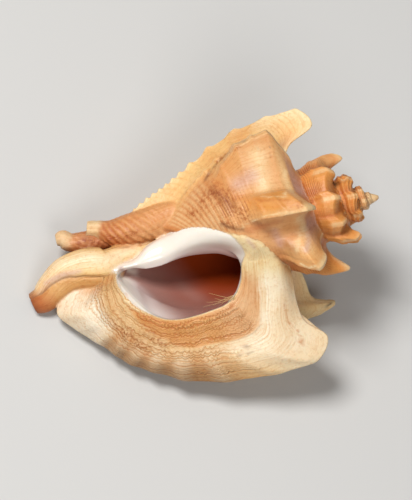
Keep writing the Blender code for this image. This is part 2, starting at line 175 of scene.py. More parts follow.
# The last varix and the aperture, spoke by spoke, as (d, distance below the axis, w).
LIP_EDGE = (
    (12.7, 6.5, 1.2), (12.6, 10.7, 0.6), (12.0, 13.5, 0.2), (9.6, 15.9, -0.4), (11.3, 18.5, -0.2),
    (15.8, 19.2, -0.2), (21.4, 19.1, 0.0), (26.9, 18.2, 0.0), (31.1, 16.4, 0.0), (34.8, 14.3, 0.0),
    (37.3, 11.8, 0.0), (40.2, 9.2, 0.0), (42.3, 6.4, 0.0), (39.8, 3.4, -0.4), (37.0, 1.8, -0.6),
)
LIP_FACE = (
    (14.0, 5.2, 4.5), (14.2, 8.8, 2.9), (14.9, 12.5, 1.9), (14.7, 15.1, 1.3), (16.5, 16.5, 1.5),
    (19.7, 16.9, 1.6), (23.2, 16.6, 1.8), (26.8, 16.2, 1.8), (30.6, 15.1, 1.9), (33.7, 13.3, 2.1),
    (35.8, 11.0, 2.5), (37.6, 8.7, 2.8), (38.7, 6.7, 2.2), (37.5, 4.5, 0.3), (35.7, 2.2, 0.8),
)
LIP_BAND = (
    (16.6, 5.0, 4.3), (17.0, 8.3, 3.0), (17.4, 10.8, 2.3), (17.9, 12.7, 1.9), (19.2, 13.6, 1.9),
    (21.6, 14.0, 1.9), (24.0, 13.9, 1.9), (26.8, 14.0, 1.9), (29.9, 13.4, 1.9), (32.7, 11.6, 2.0),
    (34.6, 9.6, 2.2), (35.8, 7.2, 2.2), (36.0, 5.2, 1.8), (35.6, 4.0, 1.1), (34.7, 2.6, 1.2),
)
LIP_RIM = (
    (18.3, 5.0, 3.7), (18.7, 7.1, 3.0), (19.5, 8.6, 2.7), (20.3, 9.4, 2.6), (21.4, 10.0, 2.6),
    (23.0, 10.3, 2.6), (24.8, 10.5, 2.6), (27.1, 10.6, 2.6), (29.2, 10.2, 2.6), (31.1, 9.1, 2.5),
    (32.5, 7.6, 2.4), (33.5, 6.0, 2.2), (34.1, 4.6, 1.9), (34.1, 3.6, 1.5), (33.6, 2.7, 1.3),
)
HOLE = (
    (18.7, 5.4, 2.4), (19.1, 6.7, 2.2), (19.8, 8.0, 2.0), (20.6, 8.8, 1.9), (21.6, 9.5, 1.9),
    (23.0, 9.8, 1.9), (24.9, 10.1, 1.9), (26.9, 10.2, 1.9), (28.8, 9.9, 1.9), (30.5, 8.8, 1.8),
    (31.8, 7.2, 1.7), (32.9, 5.6, 1.5), (33.6, 4.3, 1.2), (33.8, 3.5, 0.9), (33.2, 3.0, 0.8),
    (31.8, 2.9, 0.7), (30.2, 3.3, 0.7), (28.1, 3.2, 0.8), (25.7, 2.5, 1.0), (23.1, 2.2, 1.3),
    (20.9, 2.5, 1.6), (19.5, 3.2, 2.0), (18.8, 4.2, 2.3),
)
# The middle of the last varix's flare: how far it is on the way out to the edge, and its turns, at
# which the cavity starts too.
LIP_FLARE = 0.35
FLARE_TURNS = 0.012
# Stages, as lip_rings counts them: what the wound whorls have, what lies between them and the back,
# how far behind the edge the back ends, and where the inside and the cavity start.
WOUND_STAGE = -2.0
BACK_FROM = -1.5
BEHIND_EDGE = 0.01
CAVITY_FROM = 3.5
HOLE_STAGE = 4.0
# The inner lip: its border on the older whorl, as (d, distance below the axis), how far the loops
# over each point of it swell, and how deep it is sunk into the whorl.
CALLUS_BORDER = (
    (31.9, 1.8), (29.7, 0.4), (27.2, -0.5), (24.6, -0.9), (21.8, -0.5), (19.4, 0.6), (17.2, 1.4),
    (15.0, 2.9),
)
CALLUS_SWELL = (0.7, 0.7, 0.7, 0.7, 0.75, 0.95, 1.2, 1.1)
BORDER_SINK = 0.35
# Its loops: how far each is on the way from the border to the hole, and its share of the swelling.
CALLUS_LOOPS = ((0.13, 0.45), (0.38, 1.0), (0.7, 1.0))
# The turns between which the older whorl faces the front, and how many of them are looked at.
FRONT_TURNS = (0.5, 1.0)
FRONT_STEPS = 400
# The cavity's section at the hole, as (d, r), the turns at which it ends and at which it starts to
# close, and its size at the end.
CAVITY = (
    (14.8, 7.0), (15.7, 8.2), (16.7, 9.0), (18.0, 9.5), (20.0, 9.8), (22.5, 9.9),
    (25.0, 9.7), (27.3, 9.1), (29.3, 8.0), (31.0, 6.7), (32.3, 5.3), (33.2, 4.2),
    (33.8, 3.5), (33.6, 3.0), (32.8, 2.8), (31.0, 2.7), (29.0, 2.7), (26.5, 2.7),
    (23.8, 2.8), (21.2, 3.2), (19.2, 4.2), (17.2, 5.5), (15.6, 6.5),
)
CAVITY_TURNS = 0.72
CAVITY_CLOSES = 0.54
CAVITY_END_SIZE = 0.25

# The stage of the lip at which the enamel starts, spoke by spoke.
ENAMEL_EDGE = (
    (0.0, 3.35), (8.5, 3.35), (10.0, 3.0), (13.5, 2.95), (14.6, 0.15), (19.4, 0.15), (20.0, 0.9),
    (20.5, 1.7), (21.0, 2.4), (21.6, 2.95), (22.3, 3.35), (23.0, 3.35),
)
ENAMEL_BLEND = 0.07
# The lobe beside the canal: the spokes over which it starts.
LOBE_FROM = (9.9, 10.7)

# Centre lines and half widths of the tubes, as (d, p, w, half width).
APEX = ((0.05, 0.0, 0.0, 0.22), (0.6, 0.0, 0.0, 0.5), (1.5, 0.0, 0.0, 0.8), (2.6, 0.0, 0.0, 1.0))
CANAL = (
    (30.5, -0.8, -1.0, 1.2), (33.0, -1.1, -0.8, 1.5), (34.7, -1.9, -0.5, 2.3),
    (36.4, -2.0, -0.5, 2.6), (38.2, -1.8, -0.5, 2.5), (40.2, -2.1, -0.5, 2.3),
    (42.0, -3.2, -0.6, 2.05), (43.5, -4.45, -0.8, 1.8), (45.0, -4.85, -1.0, 1.35),
)
CANAL_FLAT = 0.8
# The angle of the canal's seam round the tube, in degrees, as (d, angle).
CANAL_SEAM = ((33.7, 47.0), (36.6, 65.0), (39.2, 70.0), (43.2, 114.0), (44.6, 125.0))
CANAL_BORE = 0.6
FIRST_OLD_CANAL = (
    (30.5, 1.0, -2.4, 1.2), (34.0, 1.3, -2.3, 1.2), (37.0, 1.5, -2.0, 1.35),
    (38.9, 1.75, -1.9, 1.15), (39.9, 2.4, -1.8, 1.1), (40.7, 2.4, -1.8, 0.7),
)
SECOND_OLD_CANAL = (
    (21.0, 3.0, 0.4, 1.2), (23.5, 2.9, -0.7, 1.7), (26.0, 2.6, -1.1, 2.1), (28.5, 2.2, -1.1, 2.1),
    (31.0, 2.0, -1.1, 1.95), (33.3, 2.0, -1.3, 1.6), (35.3, 2.7, -1.6, 1.15), (36.6, 3.0, -1.7, 1.05),
)
# The tubes, as the centre line, the height to the width, the bore and the age in turns.
TUBES = (
    (APEX, 1.0, 0.0, 5.0),
    (CANAL, CANAL_FLAT, CANAL_BORE, 0.1),
    (FIRST_OLD_CANAL, 1.0, 0.0, 0.6),
    (SECOND_OLD_CANAL, 1.0, 0.0, 0.6),
)
# Numbers of the raw shapes. The tubes' are in the order of TUBES.
WHORLS, APEX_TUBE, CANAL_TUBE, FIRST_STUB, SECOND_STUB = range(5)

# The way that the shell lies, as in the solid.
REST_PITCH = 21.01
REST_ROLL = 20.28
REST_PLACE = (20.9, 2.62, 19.34)

# The photograph: millimetres to a pixel, where the spire's tip is, and the axis' slope.
PIXEL = 0.125
PICTURE_SIZE = (412, 500)
TIP_PIXEL = (379, 197)
PICTURE_RIGHT = Vector((0.9816, -0.1908, 0.0))
PICTURE_UP = Vector((0.1908, 0.9816, 0.0))
PICTURE_OUT = Vector((0.0, 0.0, 1.0))
LENS = 500.0
SENSOR = 36.0

# Fineness. Lengths are in millimetres.
STEPS_PER_SPOKE = 16
ROW_SPACING = 0.22
FEWEST_ROWS = 6
BACK_RINGS = 40
RINGS_PER_STAGE = 18
CAVITY_RINGS = 90
TUBE_STEPS = 20
TUBE_SIDES = 96
FUSE_SIZE = 0.13
MOST_TRIANGLES = 196000

# What is kept of each raw shape, for the painting of the finished one. Growth is the length grown,
# in millimetres: on the whorls the mean over the spokes up to GROWTH_SPOKES, and on a tube
# TUBE_GROWTH to each degree round it.
FIELDS = ("shape", "turns", "height", "side", "stage", "growth", "spoke")
GROWTH_SPOKES = 12
TUBE_GROWTH = 2.2 * math.pi / 180.0

# The turns over which the whorls become the spire, in its own colours, and over which ribs start.
SPIRE_FROM = (0.8, 0.98)
RIBS_FROM = (1.9, 2.15)
RIBS_PER_SPOKE = 1.0
SPIRE_RIB_HEIGHT = 0.4
THREADS_PER_SPOKE = 5.0
# Growth lines: their spacing and how far they wave, in millimetres, and the scale of the waves.
FINE_LINES = {"Spacing": 0.16, "Wave": 0.5, "Wave Scale": 350.0}
BROAD_LINES = {"Spacing": 0.7, "Wave": 1.2, "Wave Scale": 250.0}
SCALY_LINES = {"Spacing": 0.26, "Wave": 1.1, "Wave Scale": 700.0}
# Scallops of the scaly lines: radians of a wave to a spoke, how far noise shifts the wave, in
# radians, and the scallops' depth in millimetres.
SCALLOPS = 14.0
SCALLOP_SHIFT = 9.0
SCALLOP_DEPTH = 0.28
# How strongly growth lines show.
LINES_ON_WHORL = 0.5
LINES_ON_LIP = 0.42
LINES_ON_CANAL = 0.8
LINES_BESIDE_RIM = 0.7

# Recesses are found with so many rays, which start so far off the surface and are so long, in
# millimetres, and they are evened out in so many rounds. They are painted in shade: darkened
# towards that warm tint, by that share.
RECESS_RAYS = 10
RECESS_START = 0.12
RECESS_REACH = 4.0
RECESS_ROUNDS = 3
RECESS_SHADE_TINT = np.array((0.62, 0.4, 0.26))
RECESS_SHADE_SHARE = 0.8
# How far colours run into each other at a joint, in rounds between neighbours.
JOINT_ROUNDS = 14

# The shell's own colours are deeper than those of the screen, by this power of their light.
TINT_DEPTH = 1.38

# The scales of noises: clouds and grit of the colour, the patches in which growth lines, threads
# and scallops show, and the scallops' shift.
CLOUD_SCALE = 260.0
GRIT_SCALE = 2600.0
LINE_PATCHES = 190.0
THREAD_PATCHES = 420.0
SCALLOP_PATCHES = 500.0
SHIFT_SCALE = 600.0

# The surface: how rough the chalky outside is, what its clouds add and what enamel takes off, how
# much of a clear coat enamel has, and what is the same all over.
CHALK_ROUGHNESS = 0.42
CLOUD_ROUGHNESS = 0.12
ENAMEL_ROUGHNESS = -0.32
ENAMEL_COAT = 0.5
SHELL_SURFACE = {
    "Coat Roughness": 0.08,
    "Subsurface Weight": 0.12,
    "Subsurface Radius": (1.0, 0.6, 0.4),
    "Subsurface Scale": MM,
}

# Low relief of the last varix, in millimetres.
LEDGE_DEPTH = 0.1
RAGGED_RIM = 0.09
# Low relief of the tubes, in millimetres: the canal's seam, and the ribs and lumps of the older
# canals. The ribs face that angle, and lean by one rib's spacing in so many degrees.
SEAM_DEPTH = 0.22
RIB_SPACING = 0.95
RIB_MIDDLE = 60.0
RIB_LEAN = 42.0
RIB_HEIGHT = 0.16
RIBBED_PART = ((25.5, 29.0), (33.6, 34.6))
LUMP_HEIGHT = 0.05

# Colours that the shell shows in plain soft light, as 8-bit numbers of a screen.
SCREEN_COLOURS = {
    "ivory": (243, 226, 188),
    "cream": (248, 232, 196),
    "chalk": (250, 243, 226),
    "butter": (246, 215, 160),
    "gold": (226, 168, 92),
    "honey": (214, 152, 92),
    "tan": (224, 178, 120),
    "band": (226, 174, 110),
    "peach": (236, 192, 144),
    "rose": (226, 188, 166),
    "lilac": (216, 188, 182),
    "orange": (228, 168, 104),
    "rust": (200, 126, 70),
    "spire": (236, 182, 120),
    "brown": (150, 92, 52),
    "umber": (98, 58, 34),
    "enamel": (245, 238, 228),
    "pearl": (238, 224, 220),
    "mauve": (192, 152, 142),
    "wine": (176, 90, 48),
    "khaki": (176, 138, 86),
}

# Marks of this one shell, and some painted highlights, shadows and light: colour, strength, half
# width in pixels, sharpness, and the pixels of the photograph that the stroke goes through. They
# are painted one over the other, in this order, on what faces the camera at least that far.
STROKES = (
    ("umber", 0.5, 1.8, 2, ((245, 141), (225, 155), (213, 168), (205, 180))),
    ("brown", 0.5, 6.0, 2, ((258, 224), (272, 234), (284, 243), (295, 250))),
    ("gold", 0.75, 4.5, 2, ((258, 207), (278, 208), (298, 206))),
    ("umber", 0.8, 1.0, 3, ((258, 149),)),
    ("umber", 0.8, 0.9, 3, ((270, 147),)),
    ("umber", 0.8, 0.9, 3, ((270, 153.5),)),
    ("umber", 0.8, 0.9, 3, ((285, 200),)),
    ("umber", 0.8, 0.8, 3, ((105, 290.5),)),
    ("umber", 0.8, 0.8, 3, ((108.5, 290.5),)),
    ("orange", 0.4, 9.0, 2, ((222, 165), (215, 185))),
    ("cream", 0.7, 10.0, 2, ((258, 155), (264, 185))),
    ("lilac", 0.55, 8.0, 2, ((238, 184), (252, 176))),
    ("cream", 0.6, 10.0, 2, ((262, 122), (284, 114), (300, 112))),
    ("cream", 0.7, 1.8, 2, ((285.5, 150), (286, 172), (285, 195))),
    ("lilac", 0.6, 3.5, 2, ((292, 160), (295, 180), (301, 192))),
    ("orange", 0.5, 4.5, 2, ((235, 196), (250, 200), (262, 200))),
    ("brown", 0.35, 6.0, 2, ((212, 190), (222, 200), (232, 206))),
    # Painted highlight along an edge that is not modelled, and painted shadow under it.
    ("cream", 0.5, 1.0, 2, ((261, 196), (269, 197.3), (279, 196.6), (287, 197))),
    ("rust", 0.35, 1.6, 2, ((258, 200), (269, 200.5), (279, 199.8), (288, 200))),
    ("umber", 0.55, 2.0, 2, ((222, 224), (232, 228), (243, 229.5))),
    # Painted highlight on the free edge of the varix at 0.735 turns, and painted shadow under its
    # overhang.
    ("cream", 0.6, 0.7, 3, ((243, 226), (254, 221), (264, 216.5), (280, 213))),
    ("rust", 0.45, 4.0, 2, ((247, 231), (262, 226), (280, 221))),
    ("lilac", 0.45, 3.5, 2, ((275, 230), (280, 245))),
    ("cream", 0.55, 2.5, 2, ((298, 218), (300, 235), (297, 250))),
    ("lilac", 0.55, 3.5, 2, ((308, 222), (309, 240), (306, 250))),
    ("cream", 0.9, 1.3, 2, ((301, 264), (309, 268), (315, 266), (323.6, 260), (325.7, 254))),
    ("brown", 0.4, 2.0, 2, ((275, 256), (284, 262), (296, 264))),
    ("wine", 0.9, 12.0, 2, ((205, 262), (225, 262), (234, 280))),
    ("mauve", 0.6, 10.0, 2, ((182, 286), (196, 298))),
    # Painted light: the cavity's lower left made pale.
    ("pearl", 0.5, 7.0, 2, ((136, 284), (144, 292), (152, 300))),
    ("lilac", 0.5, 2.5, 2, ((248, 240), (254, 247))),
    ("cream", 0.7, 2.6, 2, ((322, 309), (328, 305), (334, 302))),
    ("umber", 0.8, 1.3, 2, ((326, 306.5), (331, 303.5))),
    ("lilac", 0.45, 2.5, 2, ((45, 283), (60, 275), (80, 271))),
    ("mauve", 0.8, 2.5, 2, ((121, 269), (126, 270))),
    ("mauve", 0.85, 4.5, 2, ((125, 273), (132, 277), (141, 281))),
    ("rust", 0.4, 5.0, 2, ((112, 241), (125, 245), (138, 243))),
    ("orange", 0.35, 12.0, 2, ((212, 160), (228, 150), (240, 140))),
    ("brown", 0.35, 1.2, 2, ((70, 250), (90, 249), (110, 249), (130, 247))),
    ("brown", 0.5, 0.5, 2, ((232, 353), (237, 348), (240, 350), (246, 346), (250, 347), (262, 344))),
    ("brown", 0.45, 0.5, 2, ((238, 357), (243, 353), (249, 354), (256, 349), (262, 349))),
    ("honey", 0.6, 0.7, 2, ((288, 321), (294, 328), (300, 333), (302, 340), (298, 348))),
    ("honey", 0.6, 0.6, 2, ((283.9, 302), (286, 312), (288, 323))),
)
FACING_FROM = (-0.1, 0.25)

# Grainy brown patches, as half width, sharpness and pixels.
GRAINY = (
    (9.0, 2, ((203, 203), (212, 192), (226, 198))),
    (8.0, 2, ((232, 210), (245, 216))),
    (5.0, 2, ((222, 222), (236, 227))),
    (6.0, 2, ((192, 214), (200, 208))),
    (3.0, 2, ((108, 238), (124, 237), (136, 232))),
    (2.5, 2, ((76, 244), (86, 240), (100, 243))),
    (2.5, 2, ((207, 175), (221, 158), (238, 148))),
    (3.0, 2, ((300, 205), (312, 203))),
    (7.0, 2, ((118, 325), (130, 338), (146, 350))),
    (5.0, 2, ((150, 335), (165, 345))),
)

# Fine fibres caught on the aperture's rim, as pixels of the photograph and a height in millimetres.
FIBRES = (
    ((203, 307, 2.6), (210, 304.5, 3.2), (217, 303.5, 3.4), (225, 301.5, 3.2), (234, 298, 2.6)),
    ((209, 293, 2.2), (215, 294.5, 3.2), (221, 296.5, 3.5), (228, 297.5, 3.2), (235, 299, 2.6)),
    ((213, 305.5, 2.2), (219, 302, 2.9), (224, 298, 3.2), (230, 296, 3.1), (236, 294.5, 2.7)),
    ((206, 302, 2.6), (213, 302.5, 3.1), (220, 301, 3.3), (228, 298.5, 3.1), (235, 296.5, 2.6)),
    ((219, 306, 1.8), (223, 303, 2.6), (226, 299.5, 3.1), (230, 296.5, 3.1), (234, 295, 2.8)),
    ((215, 298, 2.4), (220, 300.5, 3.0), (226, 300.5, 3.3), (231, 299, 3.1), (236, 297.5, 2.6)),
)
# Their width in millimetres, how much of it the loose tip has and how much each point adds.
FIBRE_WIDTH = 0.05
FIBRE_TIP = 0.4
FIBRE_SWELLS = 0.15
FIBRE_COLOUR = (218, 182, 120)
FIBRE_ROUGHNESS = 0.4

# Lights as (right, up, out) from the picture's middle, size and watts. Lengths are in metres.
LIGHTS = {"key": ((-0.13, 0.27, 0.5), 0.2, 3.2), "fill": ((0.1, -0.2, 0.55), 0.3, 1.1)}
SKY_STRENGTH = 0.13
TABLE_SIZE = 4.0
TABLE_SURFACE = {"Base Color": (0.62, 0.61, 0.59, 1.0), "Roughness": 0.9}


def smoothstep(low, high, x):
    t = np.clip((x - low) / (high - low), 0.0, 1.0)
    return t * t * (3.0 - 2.0 * t)


def falling(low, high, x):
    return 1 - smoothstep(low, high, x)


def between(x, start, end):
    """1 from where x is past the start until it comes to the end, with soft ends."""
    return smoothstep(*start, x) * falling(*end, x)


def linear(colour):
    """A colour of a screen as the amounts of light that the shaders use."""
    share = np.asarray(colour, float) / 255.0
    return np.where(share <= 0.04045, share / 12.92, ((share + 0.055) / 1.055) ** 2.4)


def hill(x, middle, width):
    return np.exp(-(((x - middle) / width) ** 2))


def looked_up(table, x):
    """The value at x in a table of (x, value), straight between its rows."""
    return np.interp(x, *np.transpose(table))


def catmull_rom(a, b, c, d, t):
    """Points from b to c on a smooth curve through all four."""
    square = 2 * a - 5 * b + 4 * c - d
    cube = 3 * b - a - 3 * c + d
    return 0.5 * (2 * b + (c - a) * t + square * t**2 + cube * t**3)


def closed_curve(points, steps):
    """A closed smooth curve through the points. Its last point is its first again."""
    points = np.asarray(points, float)
    t = np.arange(steps)[:, None] / steps
    count = len(points)
    parts = []
    for i in range(count):
        near = [points[(i + j) % count] for j in (-1, 0, 1, 2)]
        parts.append(catmull_rom(*near, t))
    return np.concatenate([*parts, points[:1]])


def open_curve(points, steps):
    """A smooth curve from the first point to the last."""
    points = np.asarray(points, float)
    ends = np.concatenate([[2 * points[0] - points[1]], points, [2 * points[-1] - points[-2]]])
    t = np.arange(steps)[:, None] / steps
    parts = [catmull_rom(*ends[i : i + 4], t) for i in range(len(points) - 1)]
    return np.concatenate([*parts, points[-1:]])


def wound(turns, section):
    """Points of a section, as (d, r) of the newest whorl, set at that many turns back."""
    angle = 2 * math.pi * turns
    size = WHORL_RATIO**-turns
    r = section[..., 1] * size
    return np.stack([section[..., 0] * size, -math.cos(angle) * r, -math.sin(angle) * r], axis=-1)


def facing(points):
    """Points given as (d, distance below the axis, w), as (d, p, w)."""
    return np.asarray(points, float) * (1.0, -1.0, 1.0)


def body_height(d, p):
    """How far the older whorl's plain surface comes forward at (d, p) under the inner lip."""
    outer = np.asarray(WALL[:OUTER_SPOKES], float)
    turns = np.linspace(*FRONT_TURNS, FRONT_STEPS)
    size = WHORL_RATIO**-turns
    r = np.interp(d / size, outer[:, 0], outer[:, 1], left=0.0, right=1.0) * size
    miss = np.abs(-np.cos(2 * math.pi * turns) * r - p)
    best = int(np.argmin(miss))
    return float(-math.sin(2 * math.pi * turns[best]) * r[best])


def sections():
    """The wall and each kind of crest as closed loops. Along the axis a crest is the wall."""
    inside = WALL[OUTER_SPOKES:]
    loops = {
        kind: closed_curve(top + CREST_SIDE + inside, STEPS_PER_SPOKE)
        for kind, top in CREST_TOPS.items()
    }
    loops["wall"] = closed_curve(WALL, STEPS_PER_SPOKE)
    return loops


def row_count(turns, round_once):
    """How many rows that many turns take, where a turn is that many millimetres long."""
    return max(FEWEST_ROWS, int(turns * round_once / ROW_SPACING))


def varix_rows():
    """(turns, share of the crest's height, varix) of each row, from the spire to the last varix."""
    rows = []
    stops = VARICES[::-1]
    before = APEX_TURNS
    for i, varix in enumerate(stops):
        at = varix[0]
        newer = stops[i + 1][0] if i + 1 < len(stops) else 0.0
        older = stops[i - 1][0] if i else APEX_TURNS
        lead = min(LEADING_TURNS, LEADING_GAP * (at - newer))
        trail = min(TRAILING_TURNS, TRAILING_GAP * (older - at))
        power = TRAILING_POWER
        if at > COLLARS_FROM:
            lead = COLLAR_LEAD * (at - newer)
            trail = COLLAR_TRAIL * (older - at)
            power = COLLAR_POWER
        round_once = 2 * math.pi * CREST_RADIUS * WHORL_RATIO**-at
        edge = 0.5 * EDGE_THICKNESS / round_once
        start = at + trail + edge
        plain = np.linspace(before, start, row_count(before - start, round_once), endpoint=False)
        rows += [(t, 0.0, varix) for t in plain]
        for q in np.linspace(0, 1, row_count(trail, round_once)):
            h = q**power
            rows.append((at + edge + trail * (1 - q) + CURL_TURNS * h**3, h, varix))
        for q in np.linspace(0, 1, row_count(lead, round_once)):
            h = (1 - q) ** LEADING_POWER
            rows.append((at - edge - lead * q + CURL_TURNS * h**3, h, varix))
        before = at - edge - lead
    rows += [(t, 0.0, stops[-1]) for t in np.linspace(before, TERMINAL_WALL, 3)[1:]]
    return rows


def bumps(spoke, places, width):
    """How far a row of rounded bumps stands out at each spoke."""
    return sum(size * hill(spoke, at, width) for at, size in places)


def freedom(turns, spoke):
    """Where a varix stands free of newer growth, from 1 to 0."""
    free = looked_up(FREE_SPOKES, turns)
    return falling(free - FADE_BEFORE, free + FADE_AFTER, spoke)


def ring(turns, height, varix, loops, spoke):
    """One loop of the wound whorl."""
    _, tall, kind, spiny, out = varix
    wall, blunt = loops["wall"], loops["blunt"]
    spiny = spiny * height**KIND_POWER
    crest = wall + (spiny * (loops[kind] - wall) + (1 - spiny) * (blunt - wall)) * tall
    cords = bumps(spoke, CORDS, CORD_WIDTH)
    wave = np.sin(2 * math.pi * RIBS_PER_SPOKE * spoke)
    ribs = SPIRE_RIB_HEIGHT * smoothstep(*RIBS_FROM, turns) * wave
    crest[:, 1] += out * hill(spoke, SPINE_SPOKE, SPINE_WIDTH) + cords + ribs
    base = looked_up(COLLAR_BASE, turns)
    share = (base + (1 - base) * height) * freedom(turns, spoke)[:, None]
    wall = wall + np.stack([0 * spoke, CORD_ON_WALL * cords], axis=-1)
    rolled = wall + (crest - wall) * ROLL_OUT
    section = (1 - share) ** 2 * wall + 2 * share * (1 - share) * rolled + share**2 * crest
    return wound(turns, section)


def lip_rings(loops):
    """The last varix from its back to its edge, its face, the rim, the hole and the cavity.

    With each ring comes its stage: below 0 on the back, 0 at the edge, 1 on the face, 2 at the
    band, 3 on the rim, 4 at the hole, and above that inside the cavity.
    """
    wall = wound(TERMINAL_WALL, loops["wall"])
    spoke = np.arange(len(wall)) / STEPS_PER_SPOKE
    border = [(d, r, body_height(d, -r) - BORDER_SINK) for d, r in CALLUS_BORDER]
    inner_hole = np.asarray(HOLE[OUTER_SPOKES:], float)
    lip_parts = []
    for outer_part, (way, swell) in zip((LIP_FACE, LIP_BAND, LIP_RIM), CALLUS_LOOPS):
        inner_part = np.asarray(border) * (1 - way) + inner_hole * way
        inner_part[:, 2] += BORDER_SINK * (1 - way) + swell * np.asarray(CALLUS_SWELL)
        lip_parts.append(closed_curve(facing([*outer_part, *inner_part.tolist()]), STEPS_PER_SPOKE))
    edge = closed_curve(facing([*LIP_EDGE, *border]), STEPS_PER_SPOKE)
    edge[:, 1] -= EDGE_FOLD_SHARE * bumps(spoke, LIP_FOLDS, LIP_FOLD_WIDTH)
    hole = closed_curve(facing(HOLE), STEPS_PER_SPOKE)

    outer_lip = (spoke < OUTER_SPOKES - 0.5)[:, None]
    ahead = wound(FLARE_TURNS, loops["wall"])
    control = ahead + np.where(outer_lip, LIP_FLARE, 0.0) * (edge - ahead)
    back = edge - np.where(outer_lip, EDGE_THICKNESS, 0.0) * (0.0, 0.0, 1.0)
    rings, stages = [], []
    for q in np.linspace(0, 1, BACK_RINGS)[1:]:
        rings.append((1 - q) ** 2 * wall + 2 * q * (1 - q) * control + q**2 * back)
        stages.append(q - 1 - BEHIND_EDGE)
    profile = np.stack([edge, *lip_parts, hole])
    face = open_curve(profile.reshape(len(profile), -1), RINGS_PER_STAGE)
    rings += list(face.reshape(-1, *edge.shape))
    stages += (np.arange(len(face)) / RINGS_PER_STAGE).tolist()

    cavity = closed_curve(CAVITY, STEPS_PER_SPOKE)
    middle = cavity[:-1].mean(axis=0)
    for turns in np.linspace(FLARE_TURNS, CAVITY_TURNS, CAVITY_RINGS):
        size = 1 - (1 - CAVITY_END_SIZE) * smoothstep(CAVITY_CLOSES, CAVITY_TURNS, turns)
        rings.append(wound(turns, middle + (cavity - middle) * size))
        stages.append(HOLE_STAGE + turns)
    return rings, stages


def tube_rings(line, flat, bore):
    """Loops round a centre line of (d, p, w, half width), and how far along it each one is."""
    path = open_curve(line, TUBE_STEPS)
    centre, half = path[:, :3], path[:, 3]
    along = np.gradient(centre, axis=0)
    along /= np.linalg.norm(along, axis=1)[:, None]
    across = np.cross(along, (0.0, 0.0, 1.0))
    across /= np.linalg.norm(across, axis=1)[:, None]
    out = np.cross(across, along)
    angle = 2 * math.pi * np.arange(TUBE_SIDES + 1)[:, None] / TUBE_SIDES

    def loop(i, radius):
        return centre[i] + radius * (np.cos(angle) * across[i] + flat * np.sin(angle) * out[i])

    order = list(range(len(path)))
    rings = [loop(i, half[i]) for i in order]
    if bore:
        inner = list(range(len(path) - 1, len(path) - 2 * TUBE_STEPS, -1))
        rings += [loop(i, bore * half[i]) for i in inner]
        order += inner
    return rings, centre[order, 0]


def rest_pose():
    """From the shell frame, with x towards the spire's tip, to the shell lying on z = 0."""
    pitch = Matrix.Rotation(-math.radians(REST_PITCH), 4, "Y")
    roll = Matrix.Rotation(math.radians(REST_ROLL), 4, "X")
    return Matrix.Scale(MM, 4) @ Matrix.Translation(REST_PLACE) @ pitch @ roll


REST = rest_pose()
PALETTE = {name: linear(colour) ** TINT_DEPTH for name, colour in SCREEN_COLOURS.items()}


def shell_place(points):
    """Points of the shell frame, as (d, p, w), where the shell lies. In metres."""
    rest = np.asarray(REST)
    return (np.asarray(points, float) * (-1.0, 1.0, 1.0)) @ rest[:3, :3].T + rest[:3, 3]


def deselect_all():
    bpy.ops.object.select_all(action="DESELECT")


def choose(*pieces):
    """Selects just these pieces, and makes the first the active one."""
    deselect_all()
    for piece in pieces:
        piece.select_set(True)
    bpy.context.view_layer.objects.active = pieces[0]


def outward(rings):
    """The direction out of the shell at each point of the rings."""
    along = np.gradient(rings, axis=0)
    around = np.gradient(rings, axis=1)
    around[:, 0] = around[:, -1] = rings[:, 1] - rings[:, -2]
    normals = np.cross(around, along)
    length = np.linalg.norm(normals, axis=2, keepdims=True)
    return normals / np.maximum(length, 1e-9)


def lip_relief(stages, spoke):
    """Folds, ledge and ragged rim of the last varix, as millimetres out of its face."""
    stage = np.asarray(stages)[:, None]
    outer_lip = between(spoke, (2.6, 3.4), (13.2, 14.2))
    folds = bumps(spoke, LIP_FOLDS, LIP_FOLD_WIDTH)
    on_face = between(stage, (0.0, 0.25), (0.4, 1.6))
    ledge = between(stage, (1.93, 2.03), (2.45, 2.85))
    ragged = np.sin(31.0 * spoke) * np.sin(12.7 * spoke + 1.0) + 0.6 * np.sin(54.0 * spoke)
    on_rim = hill(stage, 2.95, 0.12) * smoothstep(8.6, 9.6, spoke)
    relief = FACE_FOLD_SHARE * folds * on_face - LEDGE_DEPTH * ledge + RAGGED_RIM * ragged * on_rim
    return (outer_lip * relief)[..., None]


def whorl_fields(rows, stages, rings, spoke):
    """What is known at each point of the whorls, the last varix and the cavity."""
    height = np.array([row[1] for row in rows])
    side = -np.sign(np.gradient(height))
    outside = rings[:, : GROWTH_SPOKES * STEPS_PER_SPOKE]
    reach = np.linalg.norm(np.diff(outside, axis=0), axis=2).mean(axis=1)
    turns = [row[0] for row in rows] + [max(0.0, stage - HOLE_STAGE) for stage in stages]
    fields = {
        "shape": np.full(len(rings), float(WHORLS)),
        "turns": np.array(turns),
        "height": np.concatenate([height, np.ones(len(stages))]),
        "side": np.concatenate([side, np.ones(len(stages))]),
        "stage": np.concatenate([np.full(len(rows), WOUND_STAGE), stages]),
        "growth": np.concatenate([[0.0], np.cumsum(reach)]),
    }
    fields = {name: values[:, None] for name, values in fields.items()}
    fields["height"] = fields["height"] * freedom(fields["turns"], spoke)
    fields["spoke"] = spoke[None, :]
    return fields


def old_ribs(along, angle):
    """The ribs that cross the older canals' stumps, from 0 in a groove to 1 on a rib."""
    wobble = 0.5 * np.sin(math.radians(2.0) * angle + 1.7 * along) + 0.9 * np.sin(0.9 * along + 1.0)
    facing_front = smoothstep(-0.3, 0.6, np.cos(np.radians(angle - RIB_MIDDLE)))
    wave = 0.5 + 0.5 * np.sin(2 * math.pi * (along / RIB_SPACING - angle / RIB_LEAN) + wobble)
    return 0.5 + (wave - 0.5) * facing_front


